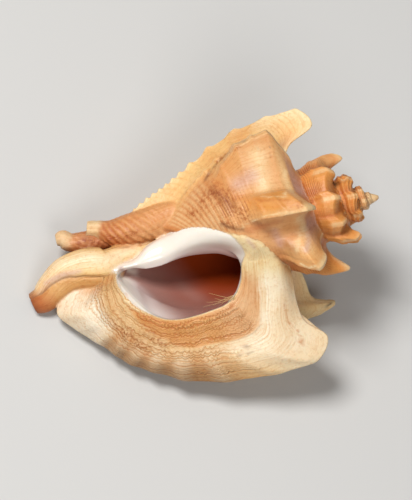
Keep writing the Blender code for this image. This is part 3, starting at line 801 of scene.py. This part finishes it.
def tube_relief(rings, along, number):
    """The tube with the canal's seam, or with the ribs and lumps of the older canals."""
    if number == APEX_TUBE:
        return rings
    angle = np.linspace(0.0, 360.0, rings.shape[1])[None, :]
    along = np.asarray(along)[:, None]
    out = rings - rings.mean(axis=1, keepdims=True)
    out /= np.linalg.norm(out, axis=2, keepdims=True)
    if number == CANAL_TUBE:
        from_seam = angle - looked_up(CANAL_SEAM, along)
        on_wall = np.arange(len(rings))[:, None] <= (len(CANAL) - 1) * TUBE_STEPS
        lower = between(from_seam, (-60.0, -4.0), (-4.0, 3.0))
        relief = -SEAM_DEPTH * (hill(from_seam, 0.0, 6.0) + 0.5 * lower) * on_wall
    else:
        ribs = between(along, *RIBBED_PART) * old_ribs(along, angle)
        lumps = np.sin(0.11 * angle + 5.0 * along) * np.sin(3.1 * along)
        relief = RIB_HEIGHT * ribs + LUMP_HEIGHT * lumps
    return rings + out * relief[..., None]


def tube_fields(rings, along, number, turns):
    """What is known at each point of a tube. Its growth lines run along it."""
    angle = np.linspace(0.0, 360.0, rings[0].shape[0])
    return {
        "shape": np.full((1, 1), float(number)),
        "turns": np.full((1, 1), turns),
        "height": np.zeros((1, 1)),
        "side": np.zeros((1, 1)),
        "stage": np.asarray(along)[:, None],
        "growth": angle[None, :] * TUBE_GROWTH,
        "spoke": angle[None, :],
    }


def wound_grid(name, rings, fields):
    """A grid wound into the rings' shape and closed at both ends. Its points keep the fields."""
    rings = np.asarray(rings, float)
    first, last = (np.broadcast_to(end.mean(axis=0), end.shape)[None] for end in (rings[0], rings[-1]))
    wound_rings = np.concatenate([first, rings, last])
    rows, columns = wound_rings.shape[:2]
    deselect_all()
    bpy.ops.mesh.primitive_grid_add(x_subdivisions=columns - 1, y_subdivisions=rows - 1)
    piece = bpy.context.object
    piece.name = name
    places = shell_place(wound_rings.reshape(-1, 3)).astype(np.float32)
    piece.data.vertices.foreach_set("co", places.ravel())
    for field, values in fields.items():
        values = np.broadcast_to(values, rings.shape[:2])
        values = np.concatenate([values[:1], values, values[-1:]]).astype(np.float32)
        piece.data.attributes.new(field, "FLOAT", "POINT").data.foreach_set("value", values.ravel())
    return piece


def read(collection, name, width, kind=np.float32):
    """That property of all of a collection's items, with one row to each."""
    values = np.empty(len(collection) * width, kind)
    collection.foreach_get(name, values)
    return values.reshape(-1, width) if width > 1 else values


def apply_all(piece):
    """Applies the piece's modifiers, from the first to the last."""
    choose(piece)
    for modifier in list(piece.modifiers):
        bpy.ops.object.modifier_apply(modifier=modifier.name)


def fused(raw):
    """One skin over the overlapping shapes, worn flat where it lies on the table."""
    choose(raw)
    bpy.ops.object.duplicate()
    shell = bpy.context.object
    shell.name = "oyster_drill_shell"
    for field in FIELDS:
        shell.data.attributes.remove(shell.data.attributes[field])
    fuse = shell.modifiers.new("Fuse", "REMESH")
    fuse.mode = "VOXEL"
    fuse.voxel_size = FUSE_SIZE * MM
    apply_all(shell)
    triangles = sum(len(face.vertices) - 2 for face in shell.data.polygons)
    thin = shell.modifiers.new("Thin", "DECIMATE")
    thin.ratio = min(1.0, MOST_TRIANGLES / triangles)
    apply_all(shell)
    places = read(shell.data.vertices, "co", 3)
    places[:, 2] = np.maximum(places[:, 2], 0.0)
    shell.data.vertices.foreach_set("co", places.ravel())
    bpy.ops.object.shade_smooth()
    return shell


def carried_over(raw, places):
    """The raw shapes' fields at the nearest place of their skin to each of the places."""
    points = read(raw.data.vertices, "co", 3).astype(float)
    corners = read(raw.data.loops, "vertex_index", 1, np.int32).reshape(-1, 4)
    tree = BVHTree.FromObject(raw, bpy.context.evaluated_depsgraph_get())
    near = [tree.find_nearest(place) for place in places]
    corners = corners[[found[2] for found in near]]
    # Where each place is on its face with four corners, as shares of the way across and along.
    a, b, c, d = (points[corners[:, k]] for k in range(4))
    across = (b - a + c - d) / 2
    along = (d - a + c - b) / 2
    offset = np.array([found[0] for found in near]) - (a + b + c + d) / 4
    pairs = ((across, across), (along, along), (across, along), (offset, across), (offset, along))
    aa, ll, al, oa, ol = ((one * other).sum(axis=1) for one, other in pairs)
    scale = np.maximum(aa * ll - al**2, 1e-24)
    u = np.clip((oa * ll - ol * al) / scale + 0.5, 0.0, 1.0)
    v = np.clip((ol * aa - oa * al) / scale + 0.5, 0.0, 1.0)
    shares = ((1 - u) * (1 - v), u * (1 - v), u * v, (1 - u) * v)
    known = {}
    for field in FIELDS:
        values = read(raw.data.attributes[field].data, "value", 1)
        known[field] = sum(share * values[corners[:, k]] for k, share in enumerate(shares))
    known["shape"] = np.rint(known["shape"])
    return known


def spread(shell, values, rounds):
    """Values at the shell's points, evened out between neighbours that many times."""
    edges = read(shell.data.edges, "vertices", 2, np.int32)
    count = np.bincount(edges.ravel(), minlength=len(values))
    for _ in range(rounds):
        total = np.bincount(edges[:, 0], values[edges[:, 1]], len(values))
        total += np.bincount(edges[:, 1], values[edges[:, 0]], len(values))
        values = 0.5 * values + 0.5 * total / np.maximum(count, 1)
    return values


def run_together(shell, colour, shape):
    """The colours, blended where a tube grows out of the whorls, and how near such a joint is."""
    tube = spread(shell, (shape != WHORLS).astype(float), JOINT_ROUNDS)
    joint = 4 * tube * (1 - tube)
    soft = np.stack([spread(shell, channel, JOINT_ROUNDS) for channel in colour.T], axis=1)
    return colour + (soft - colour) * joint[:, None], joint


def recesses(shell, tree, places, normals):
    """How closed in each point is by the shell around it, from 0 in the open to 1."""
    golden = math.pi * (3.0 - math.sqrt(5.0))
    closed = np.zeros(len(places))
    for i in range(RECESS_RAYS):
        z = 1.0 - (2 * i + 1) / RECESS_RAYS
        ground = math.sqrt(1.0 - z * z)
        ray = np.array((ground * math.cos(golden * i), ground * math.sin(golden * i), z))
        flipped = np.sign(normals @ ray)[:, None] * ray
        aims = flipped + normals
        aims /= np.linalg.norm(aims, axis=1)[:, None]
        starts = places + normals * RECESS_START * MM
        reach = RECESS_REACH * MM
        closed += [
            tree.ray_cast(Vector(start), Vector(aim), reach)[0] is not None
            for start, aim in zip(starts, aims)
        ]
    return spread(shell, closed / RECESS_RAYS, RECESS_ROUNDS)


def mixed(under, colour, share):
    return under + (PALETTE[colour] - under) * np.clip(share, 0.0, 1.0)[:, None]


def painted(ground, layers):
    """The ground's colour under layers, each with its colour, its strength and where it lies."""
    colour = PALETTE[ground]
    for name, strength, where in layers:
        colour = mixed(colour, name, strength * where)
    return colour


def whorl_colours(known):
    """The whorls' and varices' colours, from how old, how high and how far round a place is. The
    cream on the crests' tops is partly their own paleness and partly painted highlight.
    """
    turns, height, spoke = known["turns"], known["height"], known["spoke"]
    cord = np.clip(bumps(spoke, CORDS, CORD_WIDTH) / 0.4, 0.0, 1.0)
    spire = smoothstep(*SPIRE_FROM, turns)
    body = 1 - spire
    low = 1 - height
    fasciole = body * between(spoke, (7.4, 9.4), (15.0, 16.5))
    fasciole = fasciole * (0.25 + 0.75 * smoothstep(0.54, 0.58, turns))
    face = body * smoothstep(0.1, 0.9, known["side"]) * smoothstep(0.05, 0.25, height)
    golden_face = hill(turns, 0.7, 0.035)
    # Cream on the crests' tops: partly their own paleness, partly painted highlight.
    rim = smoothstep(0.82 + 0.06 * spire, 1.0, height) * (1 - 0.7 * hill(turns, 0.575, 0.03))
    rim = rim * (0.7 - 0.3 * smoothstep(1.5, 1.6, turns))
    layers = (
        ("tan", 0.5, between(turns, (0.48, 0.56), (0.66, 0.74))),
        ("ivory", 1.0, falling(0.1, 0.34, turns)),
        ("butter", 0.85, between(turns, (0.3, 0.36), (0.5, 0.57))),
        ("butter", 0.5, face * (1 - golden_face)),
        ("gold", 0.8, face * golden_face),
        ("orange", 0.55, fasciole),
        ("rust", 0.32, fasciole * (1 - cord)),
        ("cream", 0.4, fasciole * cord),
        ("lilac", 0.75, body * falling(2.4, 3.2, spoke) * low),
        ("cream", 0.6, body * hill(spoke, 3.5, 0.5) * low),
        ("spire", 1.0, spire),
        ("rust", 0.5, spire * falling(0.0, 0.5, height)),
        ("gold", 0.4, spire * hill(height, 0.7, 0.25)),
        ("peach", 0.8, hill(turns, 1.49, 0.07) * smoothstep(0.1, 0.4, height)),
        ("cream", 0.6, smoothstep(3.2, 4.4, turns)),
        ("cream", 1.0, rim),
    )
    return painted("peach", layers)


def enamelled(known):
    """Where the glossy enamel lies on the last varix, the inner lip and the cavity."""
    edge = looked_up(ENAMEL_EDGE, known["spoke"])
    return smoothstep(edge - ENAMEL_BLEND, edge + ENAMEL_BLEND, known["stage"])


def lip_colours(known):
    """The last varix, its orange band, the glossy rim and inner lip, and the cavity."""
    stage, spoke, turns = known["stage"], known["spoke"], known["turns"]
    outer = between(spoke, (0.2, 1.0), (13.6, 14.3))
    inner = between(spoke, (14.0, 14.6), (20.2, 21.6))
    rough = smoothstep(4.6, 7.2, spoke) * outer
    left = smoothstep(9.5, 11.5, spoke) * outer
    right = falling(5.0, 10.0, spoke) + smoothstep(17.0, 20.0, spoke)
    fold = np.clip(bumps(spoke, LIP_FOLDS, LIP_FOLD_WIDTH) / 0.3, 0.0, 1.0)
    lobe = smoothstep(*LOBE_FROM, spoke) * falling(13.0, 13.5, spoke)
    # Painted shade: the lower edge is darker where it turns down, away from the light.
    shaded_lower_edge = between(spoke, (5.2, 7.0), (9.6, 10.4)) * falling(0.3, 1.5, stage)
    beside_canal = between(spoke, (12.5, 13.1), (14.4, 15.2)) * smoothstep(0.4, 0.8, stage)
    band_start = 1.88 + 0.55 * smoothstep(6.5, 9.0, spoke) + 0.35 * smoothstep(9.0, 11.0, spoke)
    band = outer * smoothstep(band_start, band_start + 0.14 + 0.3 * left, stage)
    band_share = 0.7 + 0.15 * smoothstep(3.6, 5.6, spoke) - 0.45 * left
    rim = hill(stage, looked_up(ENAMEL_EDGE, spoke) - 0.1, 0.1)
    drops = hill(stage, 3.2, 0.12) * hill(np.sin(7.0 * spoke), 1.0, 0.6)
    # Painted shade: the cavity turns mauve, then wine further in and sooner on the right. The wine is
    # partly the cavity's own colour.
    cavity = smoothstep(3.8, 4.0, stage)
    shaded = smoothstep(0.05 * left, 0.02 + 0.13 * left, turns)
    deep_colour_and_shade = smoothstep(0.06, 0.3, turns) + 0.9 * smoothstep(0.012, 0.09, turns) * right
    layers = (
        ("butter", 0.55, falling(0.3, 1.2, stage)),
        ("tan", 0.3, outer * hill(stage, 0.9, 0.4)),
        ("chalk", 0.75, outer * hill(stage, 1.65, 0.22) * (1 - rough)),
        ("chalk", 0.6, outer * falling(4.0, 6.0, spoke)),
        ("tan", 0.45, rough),
        ("honey", 0.3, rough * (1 - fold) * falling(1.2, 2.2, stage)),
        ("chalk", 0.4, rough * fold * falling(1.2, 2.4, stage)),
        ("khaki", 0.6, shaded_lower_edge),
        ("chalk", 0.85, lobe * falling(1.3, 2.0, stage)),
        ("band", 1.0, band * band_share),
        ("tan", 0.75, beside_canal),
        ("enamel", 1.0, enamelled(known)),
        ("cream", 0.9, outer * rim),
        ("gold", 0.45, left * drops),
        ("pearl", 0.45, inner * smoothstep(2.8, 3.8, stage)),
        ("pearl", 0.7, cavity * (1 - left)),
        ("mauve", 0.95, cavity * shaded),
        # Painted shade just inside the rim on its right side.
        ("mauve", 0.9, smoothstep(3.5, 3.9, stage) * falling(6.5, 9.0, spoke)),
        ("wine", 0.95, cavity * deep_colour_and_shade),
    )
    return painted("ivory", layers)


def canal_colours(known):
    """The closed canal: a cream upper lip over a tan lower one, and orange tips."""
    along, angle = known["stage"], known["spoke"]
    seam = looked_up(CANAL_SEAM, along)
    lower = np.maximum(falling(seam - 10.0, seam + 3.0, angle), smoothstep(300.0, 320.0, angle))
    layers = (
        ("chalk", 0.5, hill(angle, seam + 55.0, 35.0)),
        ("lilac", 0.45, hill(angle, seam + 8.0, 14.0) * smoothstep(37.5, 41.0, along)),
        ("tan", 0.8, lower),
        ("honey", 0.6, smoothstep(43.0, 44.6, along)),
        ("rust", 0.7, lower * smoothstep(42.0, 44.0, along)),
        ("brown", 0.6, smoothstep(43.8, 45.0, along)),
        ("brown", 0.6, hill(angle, seam, 4.0)),
    )
    return painted("butter", layers)


def stub_colours(known):
    """The ends of the older canals: ribbed and orange, with cream knobs and dark, worn necks."""
    along, angle = known["stage"], known["spoke"]
    first, second = known["shape"] == FIRST_STUB, known["shape"] == SECOND_STUB
    rib = old_ribs(along, angle)
    layers = (
        ("rust", 0.4, (1 - rib) * (along < 35.0)),
        ("peach", 0.5, rib),
        ("peach", 0.75, falling(27.0, 34.0, along)),
        ("rose", 0.1, smoothstep(32.5, 34.0, along)),
        ("brown", 0.25, first * hill(along, 36.8, 1.2)),
        ("cream", 0.75, second * smoothstep(34.6, 35.4, along)),
        ("cream", 0.6, smoothstep(38.6, 39.6, along)),
        ("umber", 0.45, hill(angle, 20.0, 40.0) * smoothstep(34.0, 36.0, along)),
    )
    return painted("honey", layers)


def own_colours(known):
    """Each place's colour before the painted shade of its recesses and the strokes of this one shell.
    """
    shape = known["shape"][:, None]
    on_lip = (shape == WHORLS) * smoothstep(-1.0, -0.6, known["stage"])[:, None]
    colour = whorl_colours(known) * (1 - on_lip) + lip_colours(known) * on_lip
    colour = np.where(shape >= CANAL_TUBE, canal_colours(known), colour)
    return np.where(shape >= FIRST_STUB, stub_colours(known), colour)


def on_shell(tree, pixels):
    """Where the picture's lines of sight through the pixels meet the shell."""
    eye = camera_place()
    hits = [tree.ray_cast(eye, (picture_place(*pixel) - eye).normalized())[0] for pixel in pixels]
    return [np.array(hit) for hit in hits if hit]


def near_stroke(tree, places, normals, half_width, sharpness, pixels):
    """How close each place is to a stroke through pixels of the picture, from 1 on it to 0."""
    line = on_shell(tree, pixels)
    away = np.full(len(places), np.inf)
    for start, end in zip(line, line[1:] or line):
        run = end - start
        share = np.clip((places - start) @ run / max(run @ run, 1e-12), 0.0, 1.0)
        away = np.minimum(away, np.linalg.norm(places - start - share[:, None] * run, axis=1))
    in_view = smoothstep(*FACING_FROM, normals @ np.array(picture_axes()[2]))
    return in_view * np.exp(-((away / (half_width * PIXEL * MM)) ** sharpness))


def made_shell():
    """The whole shell as one piece, with its colours and finish as attributes."""
    loops = sections()
    spoke = np.arange(len(loops["wall"])) / STEPS_PER_SPOKE
    rows = varix_rows()
    lips, stages = lip_rings(loops)
    rings = np.array([ring(*row, loops, spoke) for row in rows] + lips)
    relief = lip_relief(stages, spoke)
    rings[len(rows) :] += outward(rings)[len(rows) :] * relief
    shapes = [wound_grid("whorls", rings, whorl_fields(rows, stages, rings, spoke))]
    for number, (line, flat, bore, turns) in enumerate(TUBES, start=APEX_TUBE):
        loop_rings, along = tube_rings(line, flat, bore)
        loop_rings = tube_relief(np.array(loop_rings), along, number)
        fields = tube_fields(loop_rings, along, number, turns)
        shapes.append(wound_grid(f"tube_{number}", loop_rings, fields))
    choose(*shapes)
    bpy.ops.object.join()
    raw = bpy.context.object
    shell = fused(raw)
    places = read(shell.data.vertices, "co", 3).astype(float)
    normals = read(shell.data.vertex_normals, "vector", 3).astype(float)
    known = carried_over(raw, places)
    bpy.data.objects.remove(raw)
    finish(shell, known, places, normals)
    shell.data.materials.clear()
    shell.data.materials.append(shell_material())
    return shell


def lined(known, enamel, joint):
    """How strongly growth lines show."""
    stage, spoke = known["stage"], known["spoke"]
    share = LINES_ON_WHORL + (LINES_ON_LIP - LINES_ON_WHORL) * smoothstep(-0.8, 0.0, stage)
    share = share + LINES_BESIDE_RIM * smoothstep(1.2, 1.9, stage) * falling(3.2, 4.6, spoke)
    share = np.where(known["shape"] >= CANAL_TUBE, LINES_ON_CANAL, share)
    return share * (1 - 0.85 * enamel) * (1 - joint)


def scaly(known):
    """Where the last varix is scaly: on its band, and all over its rough lower side."""
    stage, spoke = known["stage"], known["spoke"]
    lobe = smoothstep(*LOBE_FROM, spoke) * falling(0.95, 1.3, stage)
    rough = smoothstep(4.2, 6.4, spoke) * smoothstep(-0.1, 0.1, stage) * (1 - 0.6 * lobe)
    share = np.maximum(smoothstep(1.9, 2.0, stage), rough) * falling(2.95, 3.2, stage)
    return share * between(spoke, (2.8, 3.4), (13.4, 14.3))


def threaded(known):
    """Where fine threads run round: on the spire's first turn, and low on one part of the body."""
    turns, spoke = known["turns"], known["spoke"]
    spire = smoothstep(*SPIRE_FROM, turns)
    on_body = (1 - spire) * between(spoke, (5.4, 6.6), (8.5, 10.0)) * hill(turns, 0.71, 0.05)
    on_collar = smoothstep(0.35, 0.95, known["height"])
    share = (spire + on_body) * (1 - 0.8 * on_collar)
    return share * smoothstep(1.0, 2.0, spoke) * falling(1.5, 2.0, turns)


def ribbed(known):
    """Where ribs run round the spire's upper turns."""
    return smoothstep(*RIBS_FROM, known["turns"]) * (1 - 0.5 * smoothstep(0.85, 1.0, known["height"]))


def finish(shell, known, places, normals):
    """Paints the shell: its tint with painted shade in its recesses and painted highlights and shadows
    among its strokes, the run of its growth lines and threads, its gloss and its wear.
    """
    tree = BVHTree.FromObject(shell, bpy.context.evaluated_depsgraph_get())
    on_whorl = known["shape"] == WHORLS
    colour, joint = run_together(shell, own_colours(known), known["shape"])
    outside = ~on_whorl | (known["stage"] < CAVITY_FROM)
    # Painted shade: places closed in by the shell are darkened towards a warm tint.
    closed = recesses(shell, tree, places, normals) * outside
    colour = colour * (1 - (1 - RECESS_SHADE_TINT) * (RECESS_SHADE_SHARE * closed)[:, None])
    for name, strength, *stroke in STROKES:
        colour = mixed(colour, name, strength * near_stroke(tree, places, normals, *stroke))
    grainy = np.max([near_stroke(tree, places, normals, *stroke) for stroke in GRAINY], axis=0)
    enamel = on_whorl * enamelled(known)
    on_wound = on_whorl * (known["stage"] < BACK_FROM)
    nothing = np.zeros(len(places))
    vectors = {
        "run": (known["growth"], known["spoke"], lined(known, enamel, joint)),
        "finish": (enamel, on_whorl * scaly(known), on_wound * threaded(known)),
        "wear": (grainy, on_wound * ribbed(known), nothing),
    }
    attributes = shell.data.attributes
    opaque = np.concatenate([colour, np.ones((len(colour), 1))], axis=1).astype(np.float32)
    attributes.new("tint", "FLOAT_COLOR", "POINT").data.foreach_set("color", opaque.ravel())
    for name, columns in vectors.items():
        values = np.stack(columns, axis=1).astype(np.float32)
        attributes.new(name, "FLOAT_VECTOR", "POINT").data.foreach_set("vector", values.ravel())


def add(tree, kind, inputs=None, **settings):
    """A new node with its settings, and with each input linked or set."""
    made = tree.nodes.new(kind)
    for name, value in settings.items():
        setattr(made, name, value)
    for socket, value in (inputs or {}).items():
        if isinstance(value, bpy.types.NodeSocket):
            tree.links.new(value, made.inputs[socket])
        else:
            made.inputs[socket].default_value = value
    return made


def maths(tree, operation, *values):
    return add(tree, "ShaderNodeMath", dict(enumerate(values)), operation=operation).outputs[0]


def ramp(tree, value, low, high, start=0.0):
    """The value's way from low to high, as a smooth step from start to 1."""
    sockets = {"Value": value, "From Min": low, "From Max": high, "To Min": start}
    return add(tree, "ShaderNodeMapRange", sockets, interpolation_type="SMOOTHSTEP").outputs[0]


def noise(tree, place, scale, detail=2.0, roughness=0.5):
    sockets = {"Vector": place, "Scale": scale, "Detail": detail, "Roughness": roughness}
    return add(tree, "ShaderNodeTexNoise", sockets).outputs["Fac"]


def darkened(tree, colour, shade, share):
    """The colour, multiplied by the shade as far as the share says."""
    # A mix has sockets of one name for numbers and for colours, so these go by their places.
    sockets = {0: share, 6: colour, 7: shade}
    return add(tree, "ShaderNodeMix", sockets, data_type="RGBA", blend_type="MULTIPLY").outputs[2]


def new_group(name, inputs, outputs):
    """An empty node group, its inputs to read and its outputs to link. Only Place is a vector."""
    group = bpy.data.node_groups.new(name, "ShaderNodeTree")
    for way, sockets in (("INPUT", inputs), ("OUTPUT", outputs)):
        for socket in sockets:
            kind = "NodeSocketVector" if socket == "Place" else "NodeSocketFloat"
            group.interface.new_socket(socket, in_out=way, socket_type=kind)
    given, out = group.nodes.new("NodeGroupInput"), group.nodes.new("NodeGroupOutput")
    return group, given.outputs, out.inputs


def growth_group():
    """Lines left by each stop of growth: uneven in width and a little wavy."""
    inputs = ("Place", "Growth", "Spacing", "Wave", "Wave Scale")
    group, given, out = new_group("growth_lines", inputs, ("Height", "Line"))
    wave = maths(group, "SUBTRACT", noise(group, given["Place"], given["Wave Scale"], 1.0), 0.5)
    wavy = maths(group, "MULTIPLY_ADD", wave, given["Wave"], given["Growth"])
    sockets = {"W": maths(group, "DIVIDE", wavy, given["Spacing"]), "Scale": 1.0, "Detail": 2.0}
    lines = add(group, "ShaderNodeTexNoise", sockets, noise_dimensions="1D").outputs["Fac"]
    group.links.new(lines, out["Height"])
    group.links.new(ramp(group, lines, 0.52, 0.38), out["Line"])
    return group


def thread_group():
    """Fine threads that run round the whorls, with a dark line in each groove."""
    group, given, out = new_group("spiral_threads", ("Around", "Count"), ("Height", "Groove"))
    angle = maths(group, "MULTIPLY", given["Around"], given["Count"])
    angle = maths(group, "MULTIPLY", angle, 2 * math.pi)
    wave = maths(group, "MULTIPLY_ADD", maths(group, "SINE", angle), 0.5, 0.5)
    group.links.new(maths(group, "POWER", wave, 0.6), out["Height"])
    group.links.new(ramp(group, wave, 0.35, 0.0), out["Groove"])
    return group


def mottle_group():
    """Cloudy patches, and small dark specks."""
    group, given, out = new_group("mottling", ("Place",), ("Cloud", "Grit"))
    cloud = noise(group, given["Place"], CLOUD_SCALE, 4.0, 0.55)
    grit = noise(group, given["Place"], GRIT_SCALE, 2.0, 0.6)
    group.links.new(ramp(group, cloud, 0.3, 0.7), out["Cloud"])
    group.links.new(grit, out["Grit"])
    return group


def used(tree, group, inputs):
    """The outputs of a node group with those inputs."""
    return add(tree, "ShaderNodeGroup", inputs, node_tree=group).outputs


def attribute_parts(tree, name):
    """The three numbers of one of the shell's vector attributes."""
    vector = add(tree, "ShaderNodeAttribute", attribute_name=name).outputs["Vector"]
    return add(tree, "ShaderNodeSeparateXYZ", {0: vector}).outputs


def scalloped(tree, place, around, growth):
    """Growth pushed on in uneven scallops, so that lines across it are wavy and scaly."""
    shift = noise(tree, place, SHIFT_SCALE)
    wave = maths(tree, "MULTIPLY_ADD", shift, SCALLOP_SHIFT, maths(tree, "MULTIPLY", around, SCALLOPS))
    scallop = maths(tree, "ABSOLUTE", maths(tree, "SINE", wave))
    patches = ramp(tree, noise(tree, place, SCALLOP_PATCHES, 1.0), 0.35, 0.65, 0.25)
    depth = maths(tree, "MULTIPLY", patches, SCALLOP_DEPTH)
    return maths(tree, "MULTIPLY_ADD", scallop, depth, growth)


def new_material(name, values):
    """A material whose surface has those values, with its nodes and that surface."""
    material = bpy.data.materials.new(name)
    material.use_nodes = True
    surface = material.node_tree.nodes["Principled BSDF"]
    for socket, value in values.items():
        surface.inputs[socket].default_value = value
    return material, material.node_tree, surface


def shell_material():
    """Chalky, grown limestone outside and glossy enamel inside, by the shell's own attributes."""
    material, tree, surface = new_material("shell_limestone", SHELL_SURFACE)
    place = add(tree, "ShaderNodeTexCoord").outputs["Object"]
    colour = add(tree, "ShaderNodeAttribute", attribute_name="tint").outputs["Color"]
    growth, around, lines = attribute_parts(tree, "run")
    enamel, scales, threads = attribute_parts(tree, "finish")
    grain, ribs, _ = attribute_parts(tree, "wear")

    line_group = growth_group()
    fine = used(tree, line_group, {"Place": place, "Growth": growth, **FINE_LINES})
    broad = used(tree, line_group, {"Place": place, "Growth": growth, **BROAD_LINES})
    pushed = scalloped(tree, place, around, growth)
    scale = used(tree, line_group, {"Place": place, "Growth": pushed, **SCALY_LINES})
    round_group = thread_group()
    thread = used(tree, round_group, {"Around": around, "Count": THREADS_PER_SPOKE})
    rib = used(tree, round_group, {"Around": around, "Count": RIBS_PER_SPOKE})
    mottle = used(tree, mottle_group(), {"Place": place})

    bare = maths(tree, "SUBTRACT", 1.0, enamel)
    patches = ramp(tree, noise(tree, place, LINE_PATCHES), 0.35, 0.65)
    dark_lines = maths(tree, "MULTIPLY", maths(tree, "MULTIPLY", lines, patches), bare)
    patches = ramp(tree, noise(tree, place, THREAD_PATCHES, 3.0), 0.38, 0.6)
    broken_threads = maths(tree, "MULTIPLY", threads, patches)
    specks = ramp(tree, mottle["Grit"], 0.5, 0.72)
    dense_specks = ramp(tree, mottle["Grit"], 0.42, 0.6)
    # What darkens the tint: its pattern, where it lies, how strongly, and by which shade.
    darker = (
        (mottle["Cloud"], bare, 0.6, (0.9, 0.74, 0.56, 1.0)),
        (specks, bare, 0.5, (0.82, 0.66, 0.5, 1.0)),
        (broad["Line"], dark_lines, 0.6, (0.88, 0.72, 0.54, 1.0)),
        (fine["Line"], dark_lines, 0.9, (0.86, 0.68, 0.5, 1.0)),
        (scale["Line"], scales, 0.85, (0.78, 0.54, 0.34, 1.0)),
        (thread["Groove"], broken_threads, 0.8, (0.62, 0.38, 0.26, 1.0)),
        (rib["Groove"], ribs, 0.45, (0.78, 0.55, 0.38, 1.0)),
        (dense_specks, grain, 0.8, (0.66, 0.44, 0.26, 1.0)),
        (mottle["Cloud"], grain, 0.5, (0.78, 0.55, 0.36, 1.0)),
    )
    for pattern, where, strength, shade in darker:
        share = maths(tree, "MULTIPLY", pattern, maths(tree, "MULTIPLY", where, strength))
        colour = darkened(tree, colour, shade, share)
    tree.links.new(colour, surface.inputs["Base Color"])

    # Fine relief: its pattern, where it lies, and its height in millimetres.
    raised = (
        (broad["Height"], lines, 0.12),
        (fine["Height"], lines, 0.05),
        (scale["Height"], scales, 0.22),
        (thread["Height"], broken_threads, 0.06),
        (rib["Height"], ribs, 0.05),
        (mottle["Grit"], bare, 0.06),
    )
    height = 0.0
    for pattern, where, most in raised:
        height = maths(tree, "MULTIPLY_ADD", pattern, maths(tree, "MULTIPLY", where, most), height)
    bump = add(tree, "ShaderNodeBump", {"Height": height, "Distance": MM, "Strength": 1.0})
    tree.links.new(bump.outputs[0], surface.inputs["Normal"])
    chalk = maths(tree, "MULTIPLY_ADD", mottle["Cloud"], CLOUD_ROUGHNESS, CHALK_ROUGHNESS)
    rough = maths(tree, "MULTIPLY_ADD", enamel, ENAMEL_ROUGHNESS, chalk)
    tree.links.new(rough, surface.inputs["Roughness"])
    tree.links.new(maths(tree, "MULTIPLY", enamel, ENAMEL_COAT), surface.inputs["Coat Weight"])
    return material


def fibre_material():
    values = {"Base Color": (*linear(FIBRE_COLOUR), 1.0), "Roughness": FIBRE_ROUGHNESS}
    return new_material("golden_fibre", values)[0]


def made_fibres():
    """The golden fibres, each a thin curve that narrows towards its loose end."""
    tubes = []
    for line in FIBRES:
        deselect_all()
        bpy.ops.curve.primitive_nurbs_path_add()
        tubes.append(bpy.context.object)
        curve = tubes[-1].data
        for i, (point, pixel) in enumerate(zip(curve.splines[0].points, line)):
            point.co = (*picture_place(*pixel), 1.0)
            point.radius = FIBRE_TIP + FIBRE_SWELLS * i
        curve.bevel_depth = 0.5 * FIBRE_WIDTH * MM
        curve.bevel_resolution = 1
        curve.use_fill_caps = True
        curve.splines[0].resolution_u = 6
        bpy.ops.object.convert(target="MESH")
    choose(*tubes)
    bpy.ops.object.join()
    fibres = bpy.context.object
    fibres.name = "golden_fibres"
    bpy.ops.object.shade_smooth()
    fibres.data.materials.append(fibre_material())
    return fibres


def picture_place(px, py, w=0.0):
    """Where a pixel of the photograph is at that height w over the aperture's plane, in metres."""
    across, up = (px - TIP_PIXEL[0]) * PIXEL, (TIP_PIXEL[1] - py) * PIXEL
    return REST @ (across * PICTURE_RIGHT + up * PICTURE_UP + w * PICTURE_OUT)


def picture_axes():
    """The picture's right and up and the way out of it, where the shell lies."""
    turn = REST.to_3x3().normalized()
    return [turn @ way for way in (PICTURE_RIGHT, PICTURE_UP, PICTURE_OUT)]


def picture_middle():
    return picture_place(PICTURE_SIZE[0] / 2, PICTURE_SIZE[1] / 2)


def camera_place():
    """Straight above the picture's middle, as far off as the lens asks."""
    distance = PICTURE_SIZE[1] * PIXEL * MM * LENS / SENSOR
    return picture_middle() + picture_axes()[2] * distance


def build_camera():
    """The camera looks straight into the aperture, as the photograph does."""
    data = bpy.data.cameras.new("camera")
    data.lens = LENS
    data.sensor_width = SENSOR
    data.sensor_fit = "VERTICAL"
    data.sensor_height = SENSOR
    data.clip_start = 0.1
    data.clip_end = 10.0
    camera = bpy.data.objects.new("camera", data)
    bpy.context.scene.collection.objects.link(camera)
    turned = Matrix(picture_axes()).transposed().to_4x4()
    camera.matrix_world = Matrix.Translation(camera_place()) @ turned
    bpy.context.scene.camera = camera


def soft_light(name, place, size, watts):
    """A round area light that aims at the picture's middle."""
    data = bpy.data.lights.new(name, "AREA")
    data.shape = "DISK"
    data.size = size
    data.energy = watts
    light = bpy.data.objects.new(name, data)
    bpy.context.scene.collection.objects.link(light)
    light.location = place
    light.rotation_euler = (picture_middle() - place).to_track_quat("-Z", "Y").to_euler()


def build_stage():
    """A pale table and soft light from the picture's top."""
    deselect_all()
    bpy.ops.mesh.primitive_plane_add(size=TABLE_SIZE, location=(0.0, 0.0, 0.0))
    table = bpy.context.object
    table.name = "table"
    table.data.materials.append(new_material("pale_table", TABLE_SURFACE)[0])
    middle = picture_middle()
    right, up, out = picture_axes()
    for name, (place, size, watts) in LIGHTS.items():
        soft_light(name, middle + place[0] * right + place[1] * up + place[2] * out, size, watts)
    scene = bpy.context.scene
    scene.world = bpy.data.worlds.new("studio")
    scene.world.use_nodes = True
    sky = scene.world.node_tree.nodes["Background"]
    sky.inputs["Color"].default_value = (1.0, 1.0, 1.0, 1.0)
    sky.inputs["Strength"].default_value = SKY_STRENGTH
    scene.view_settings.view_transform = "Standard"


def main():
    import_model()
    shell = made_shell()
    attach(shell, "root")
    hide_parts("shell")
    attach(made_fibres(), "root")
    build_camera()
    build_stage()


main()
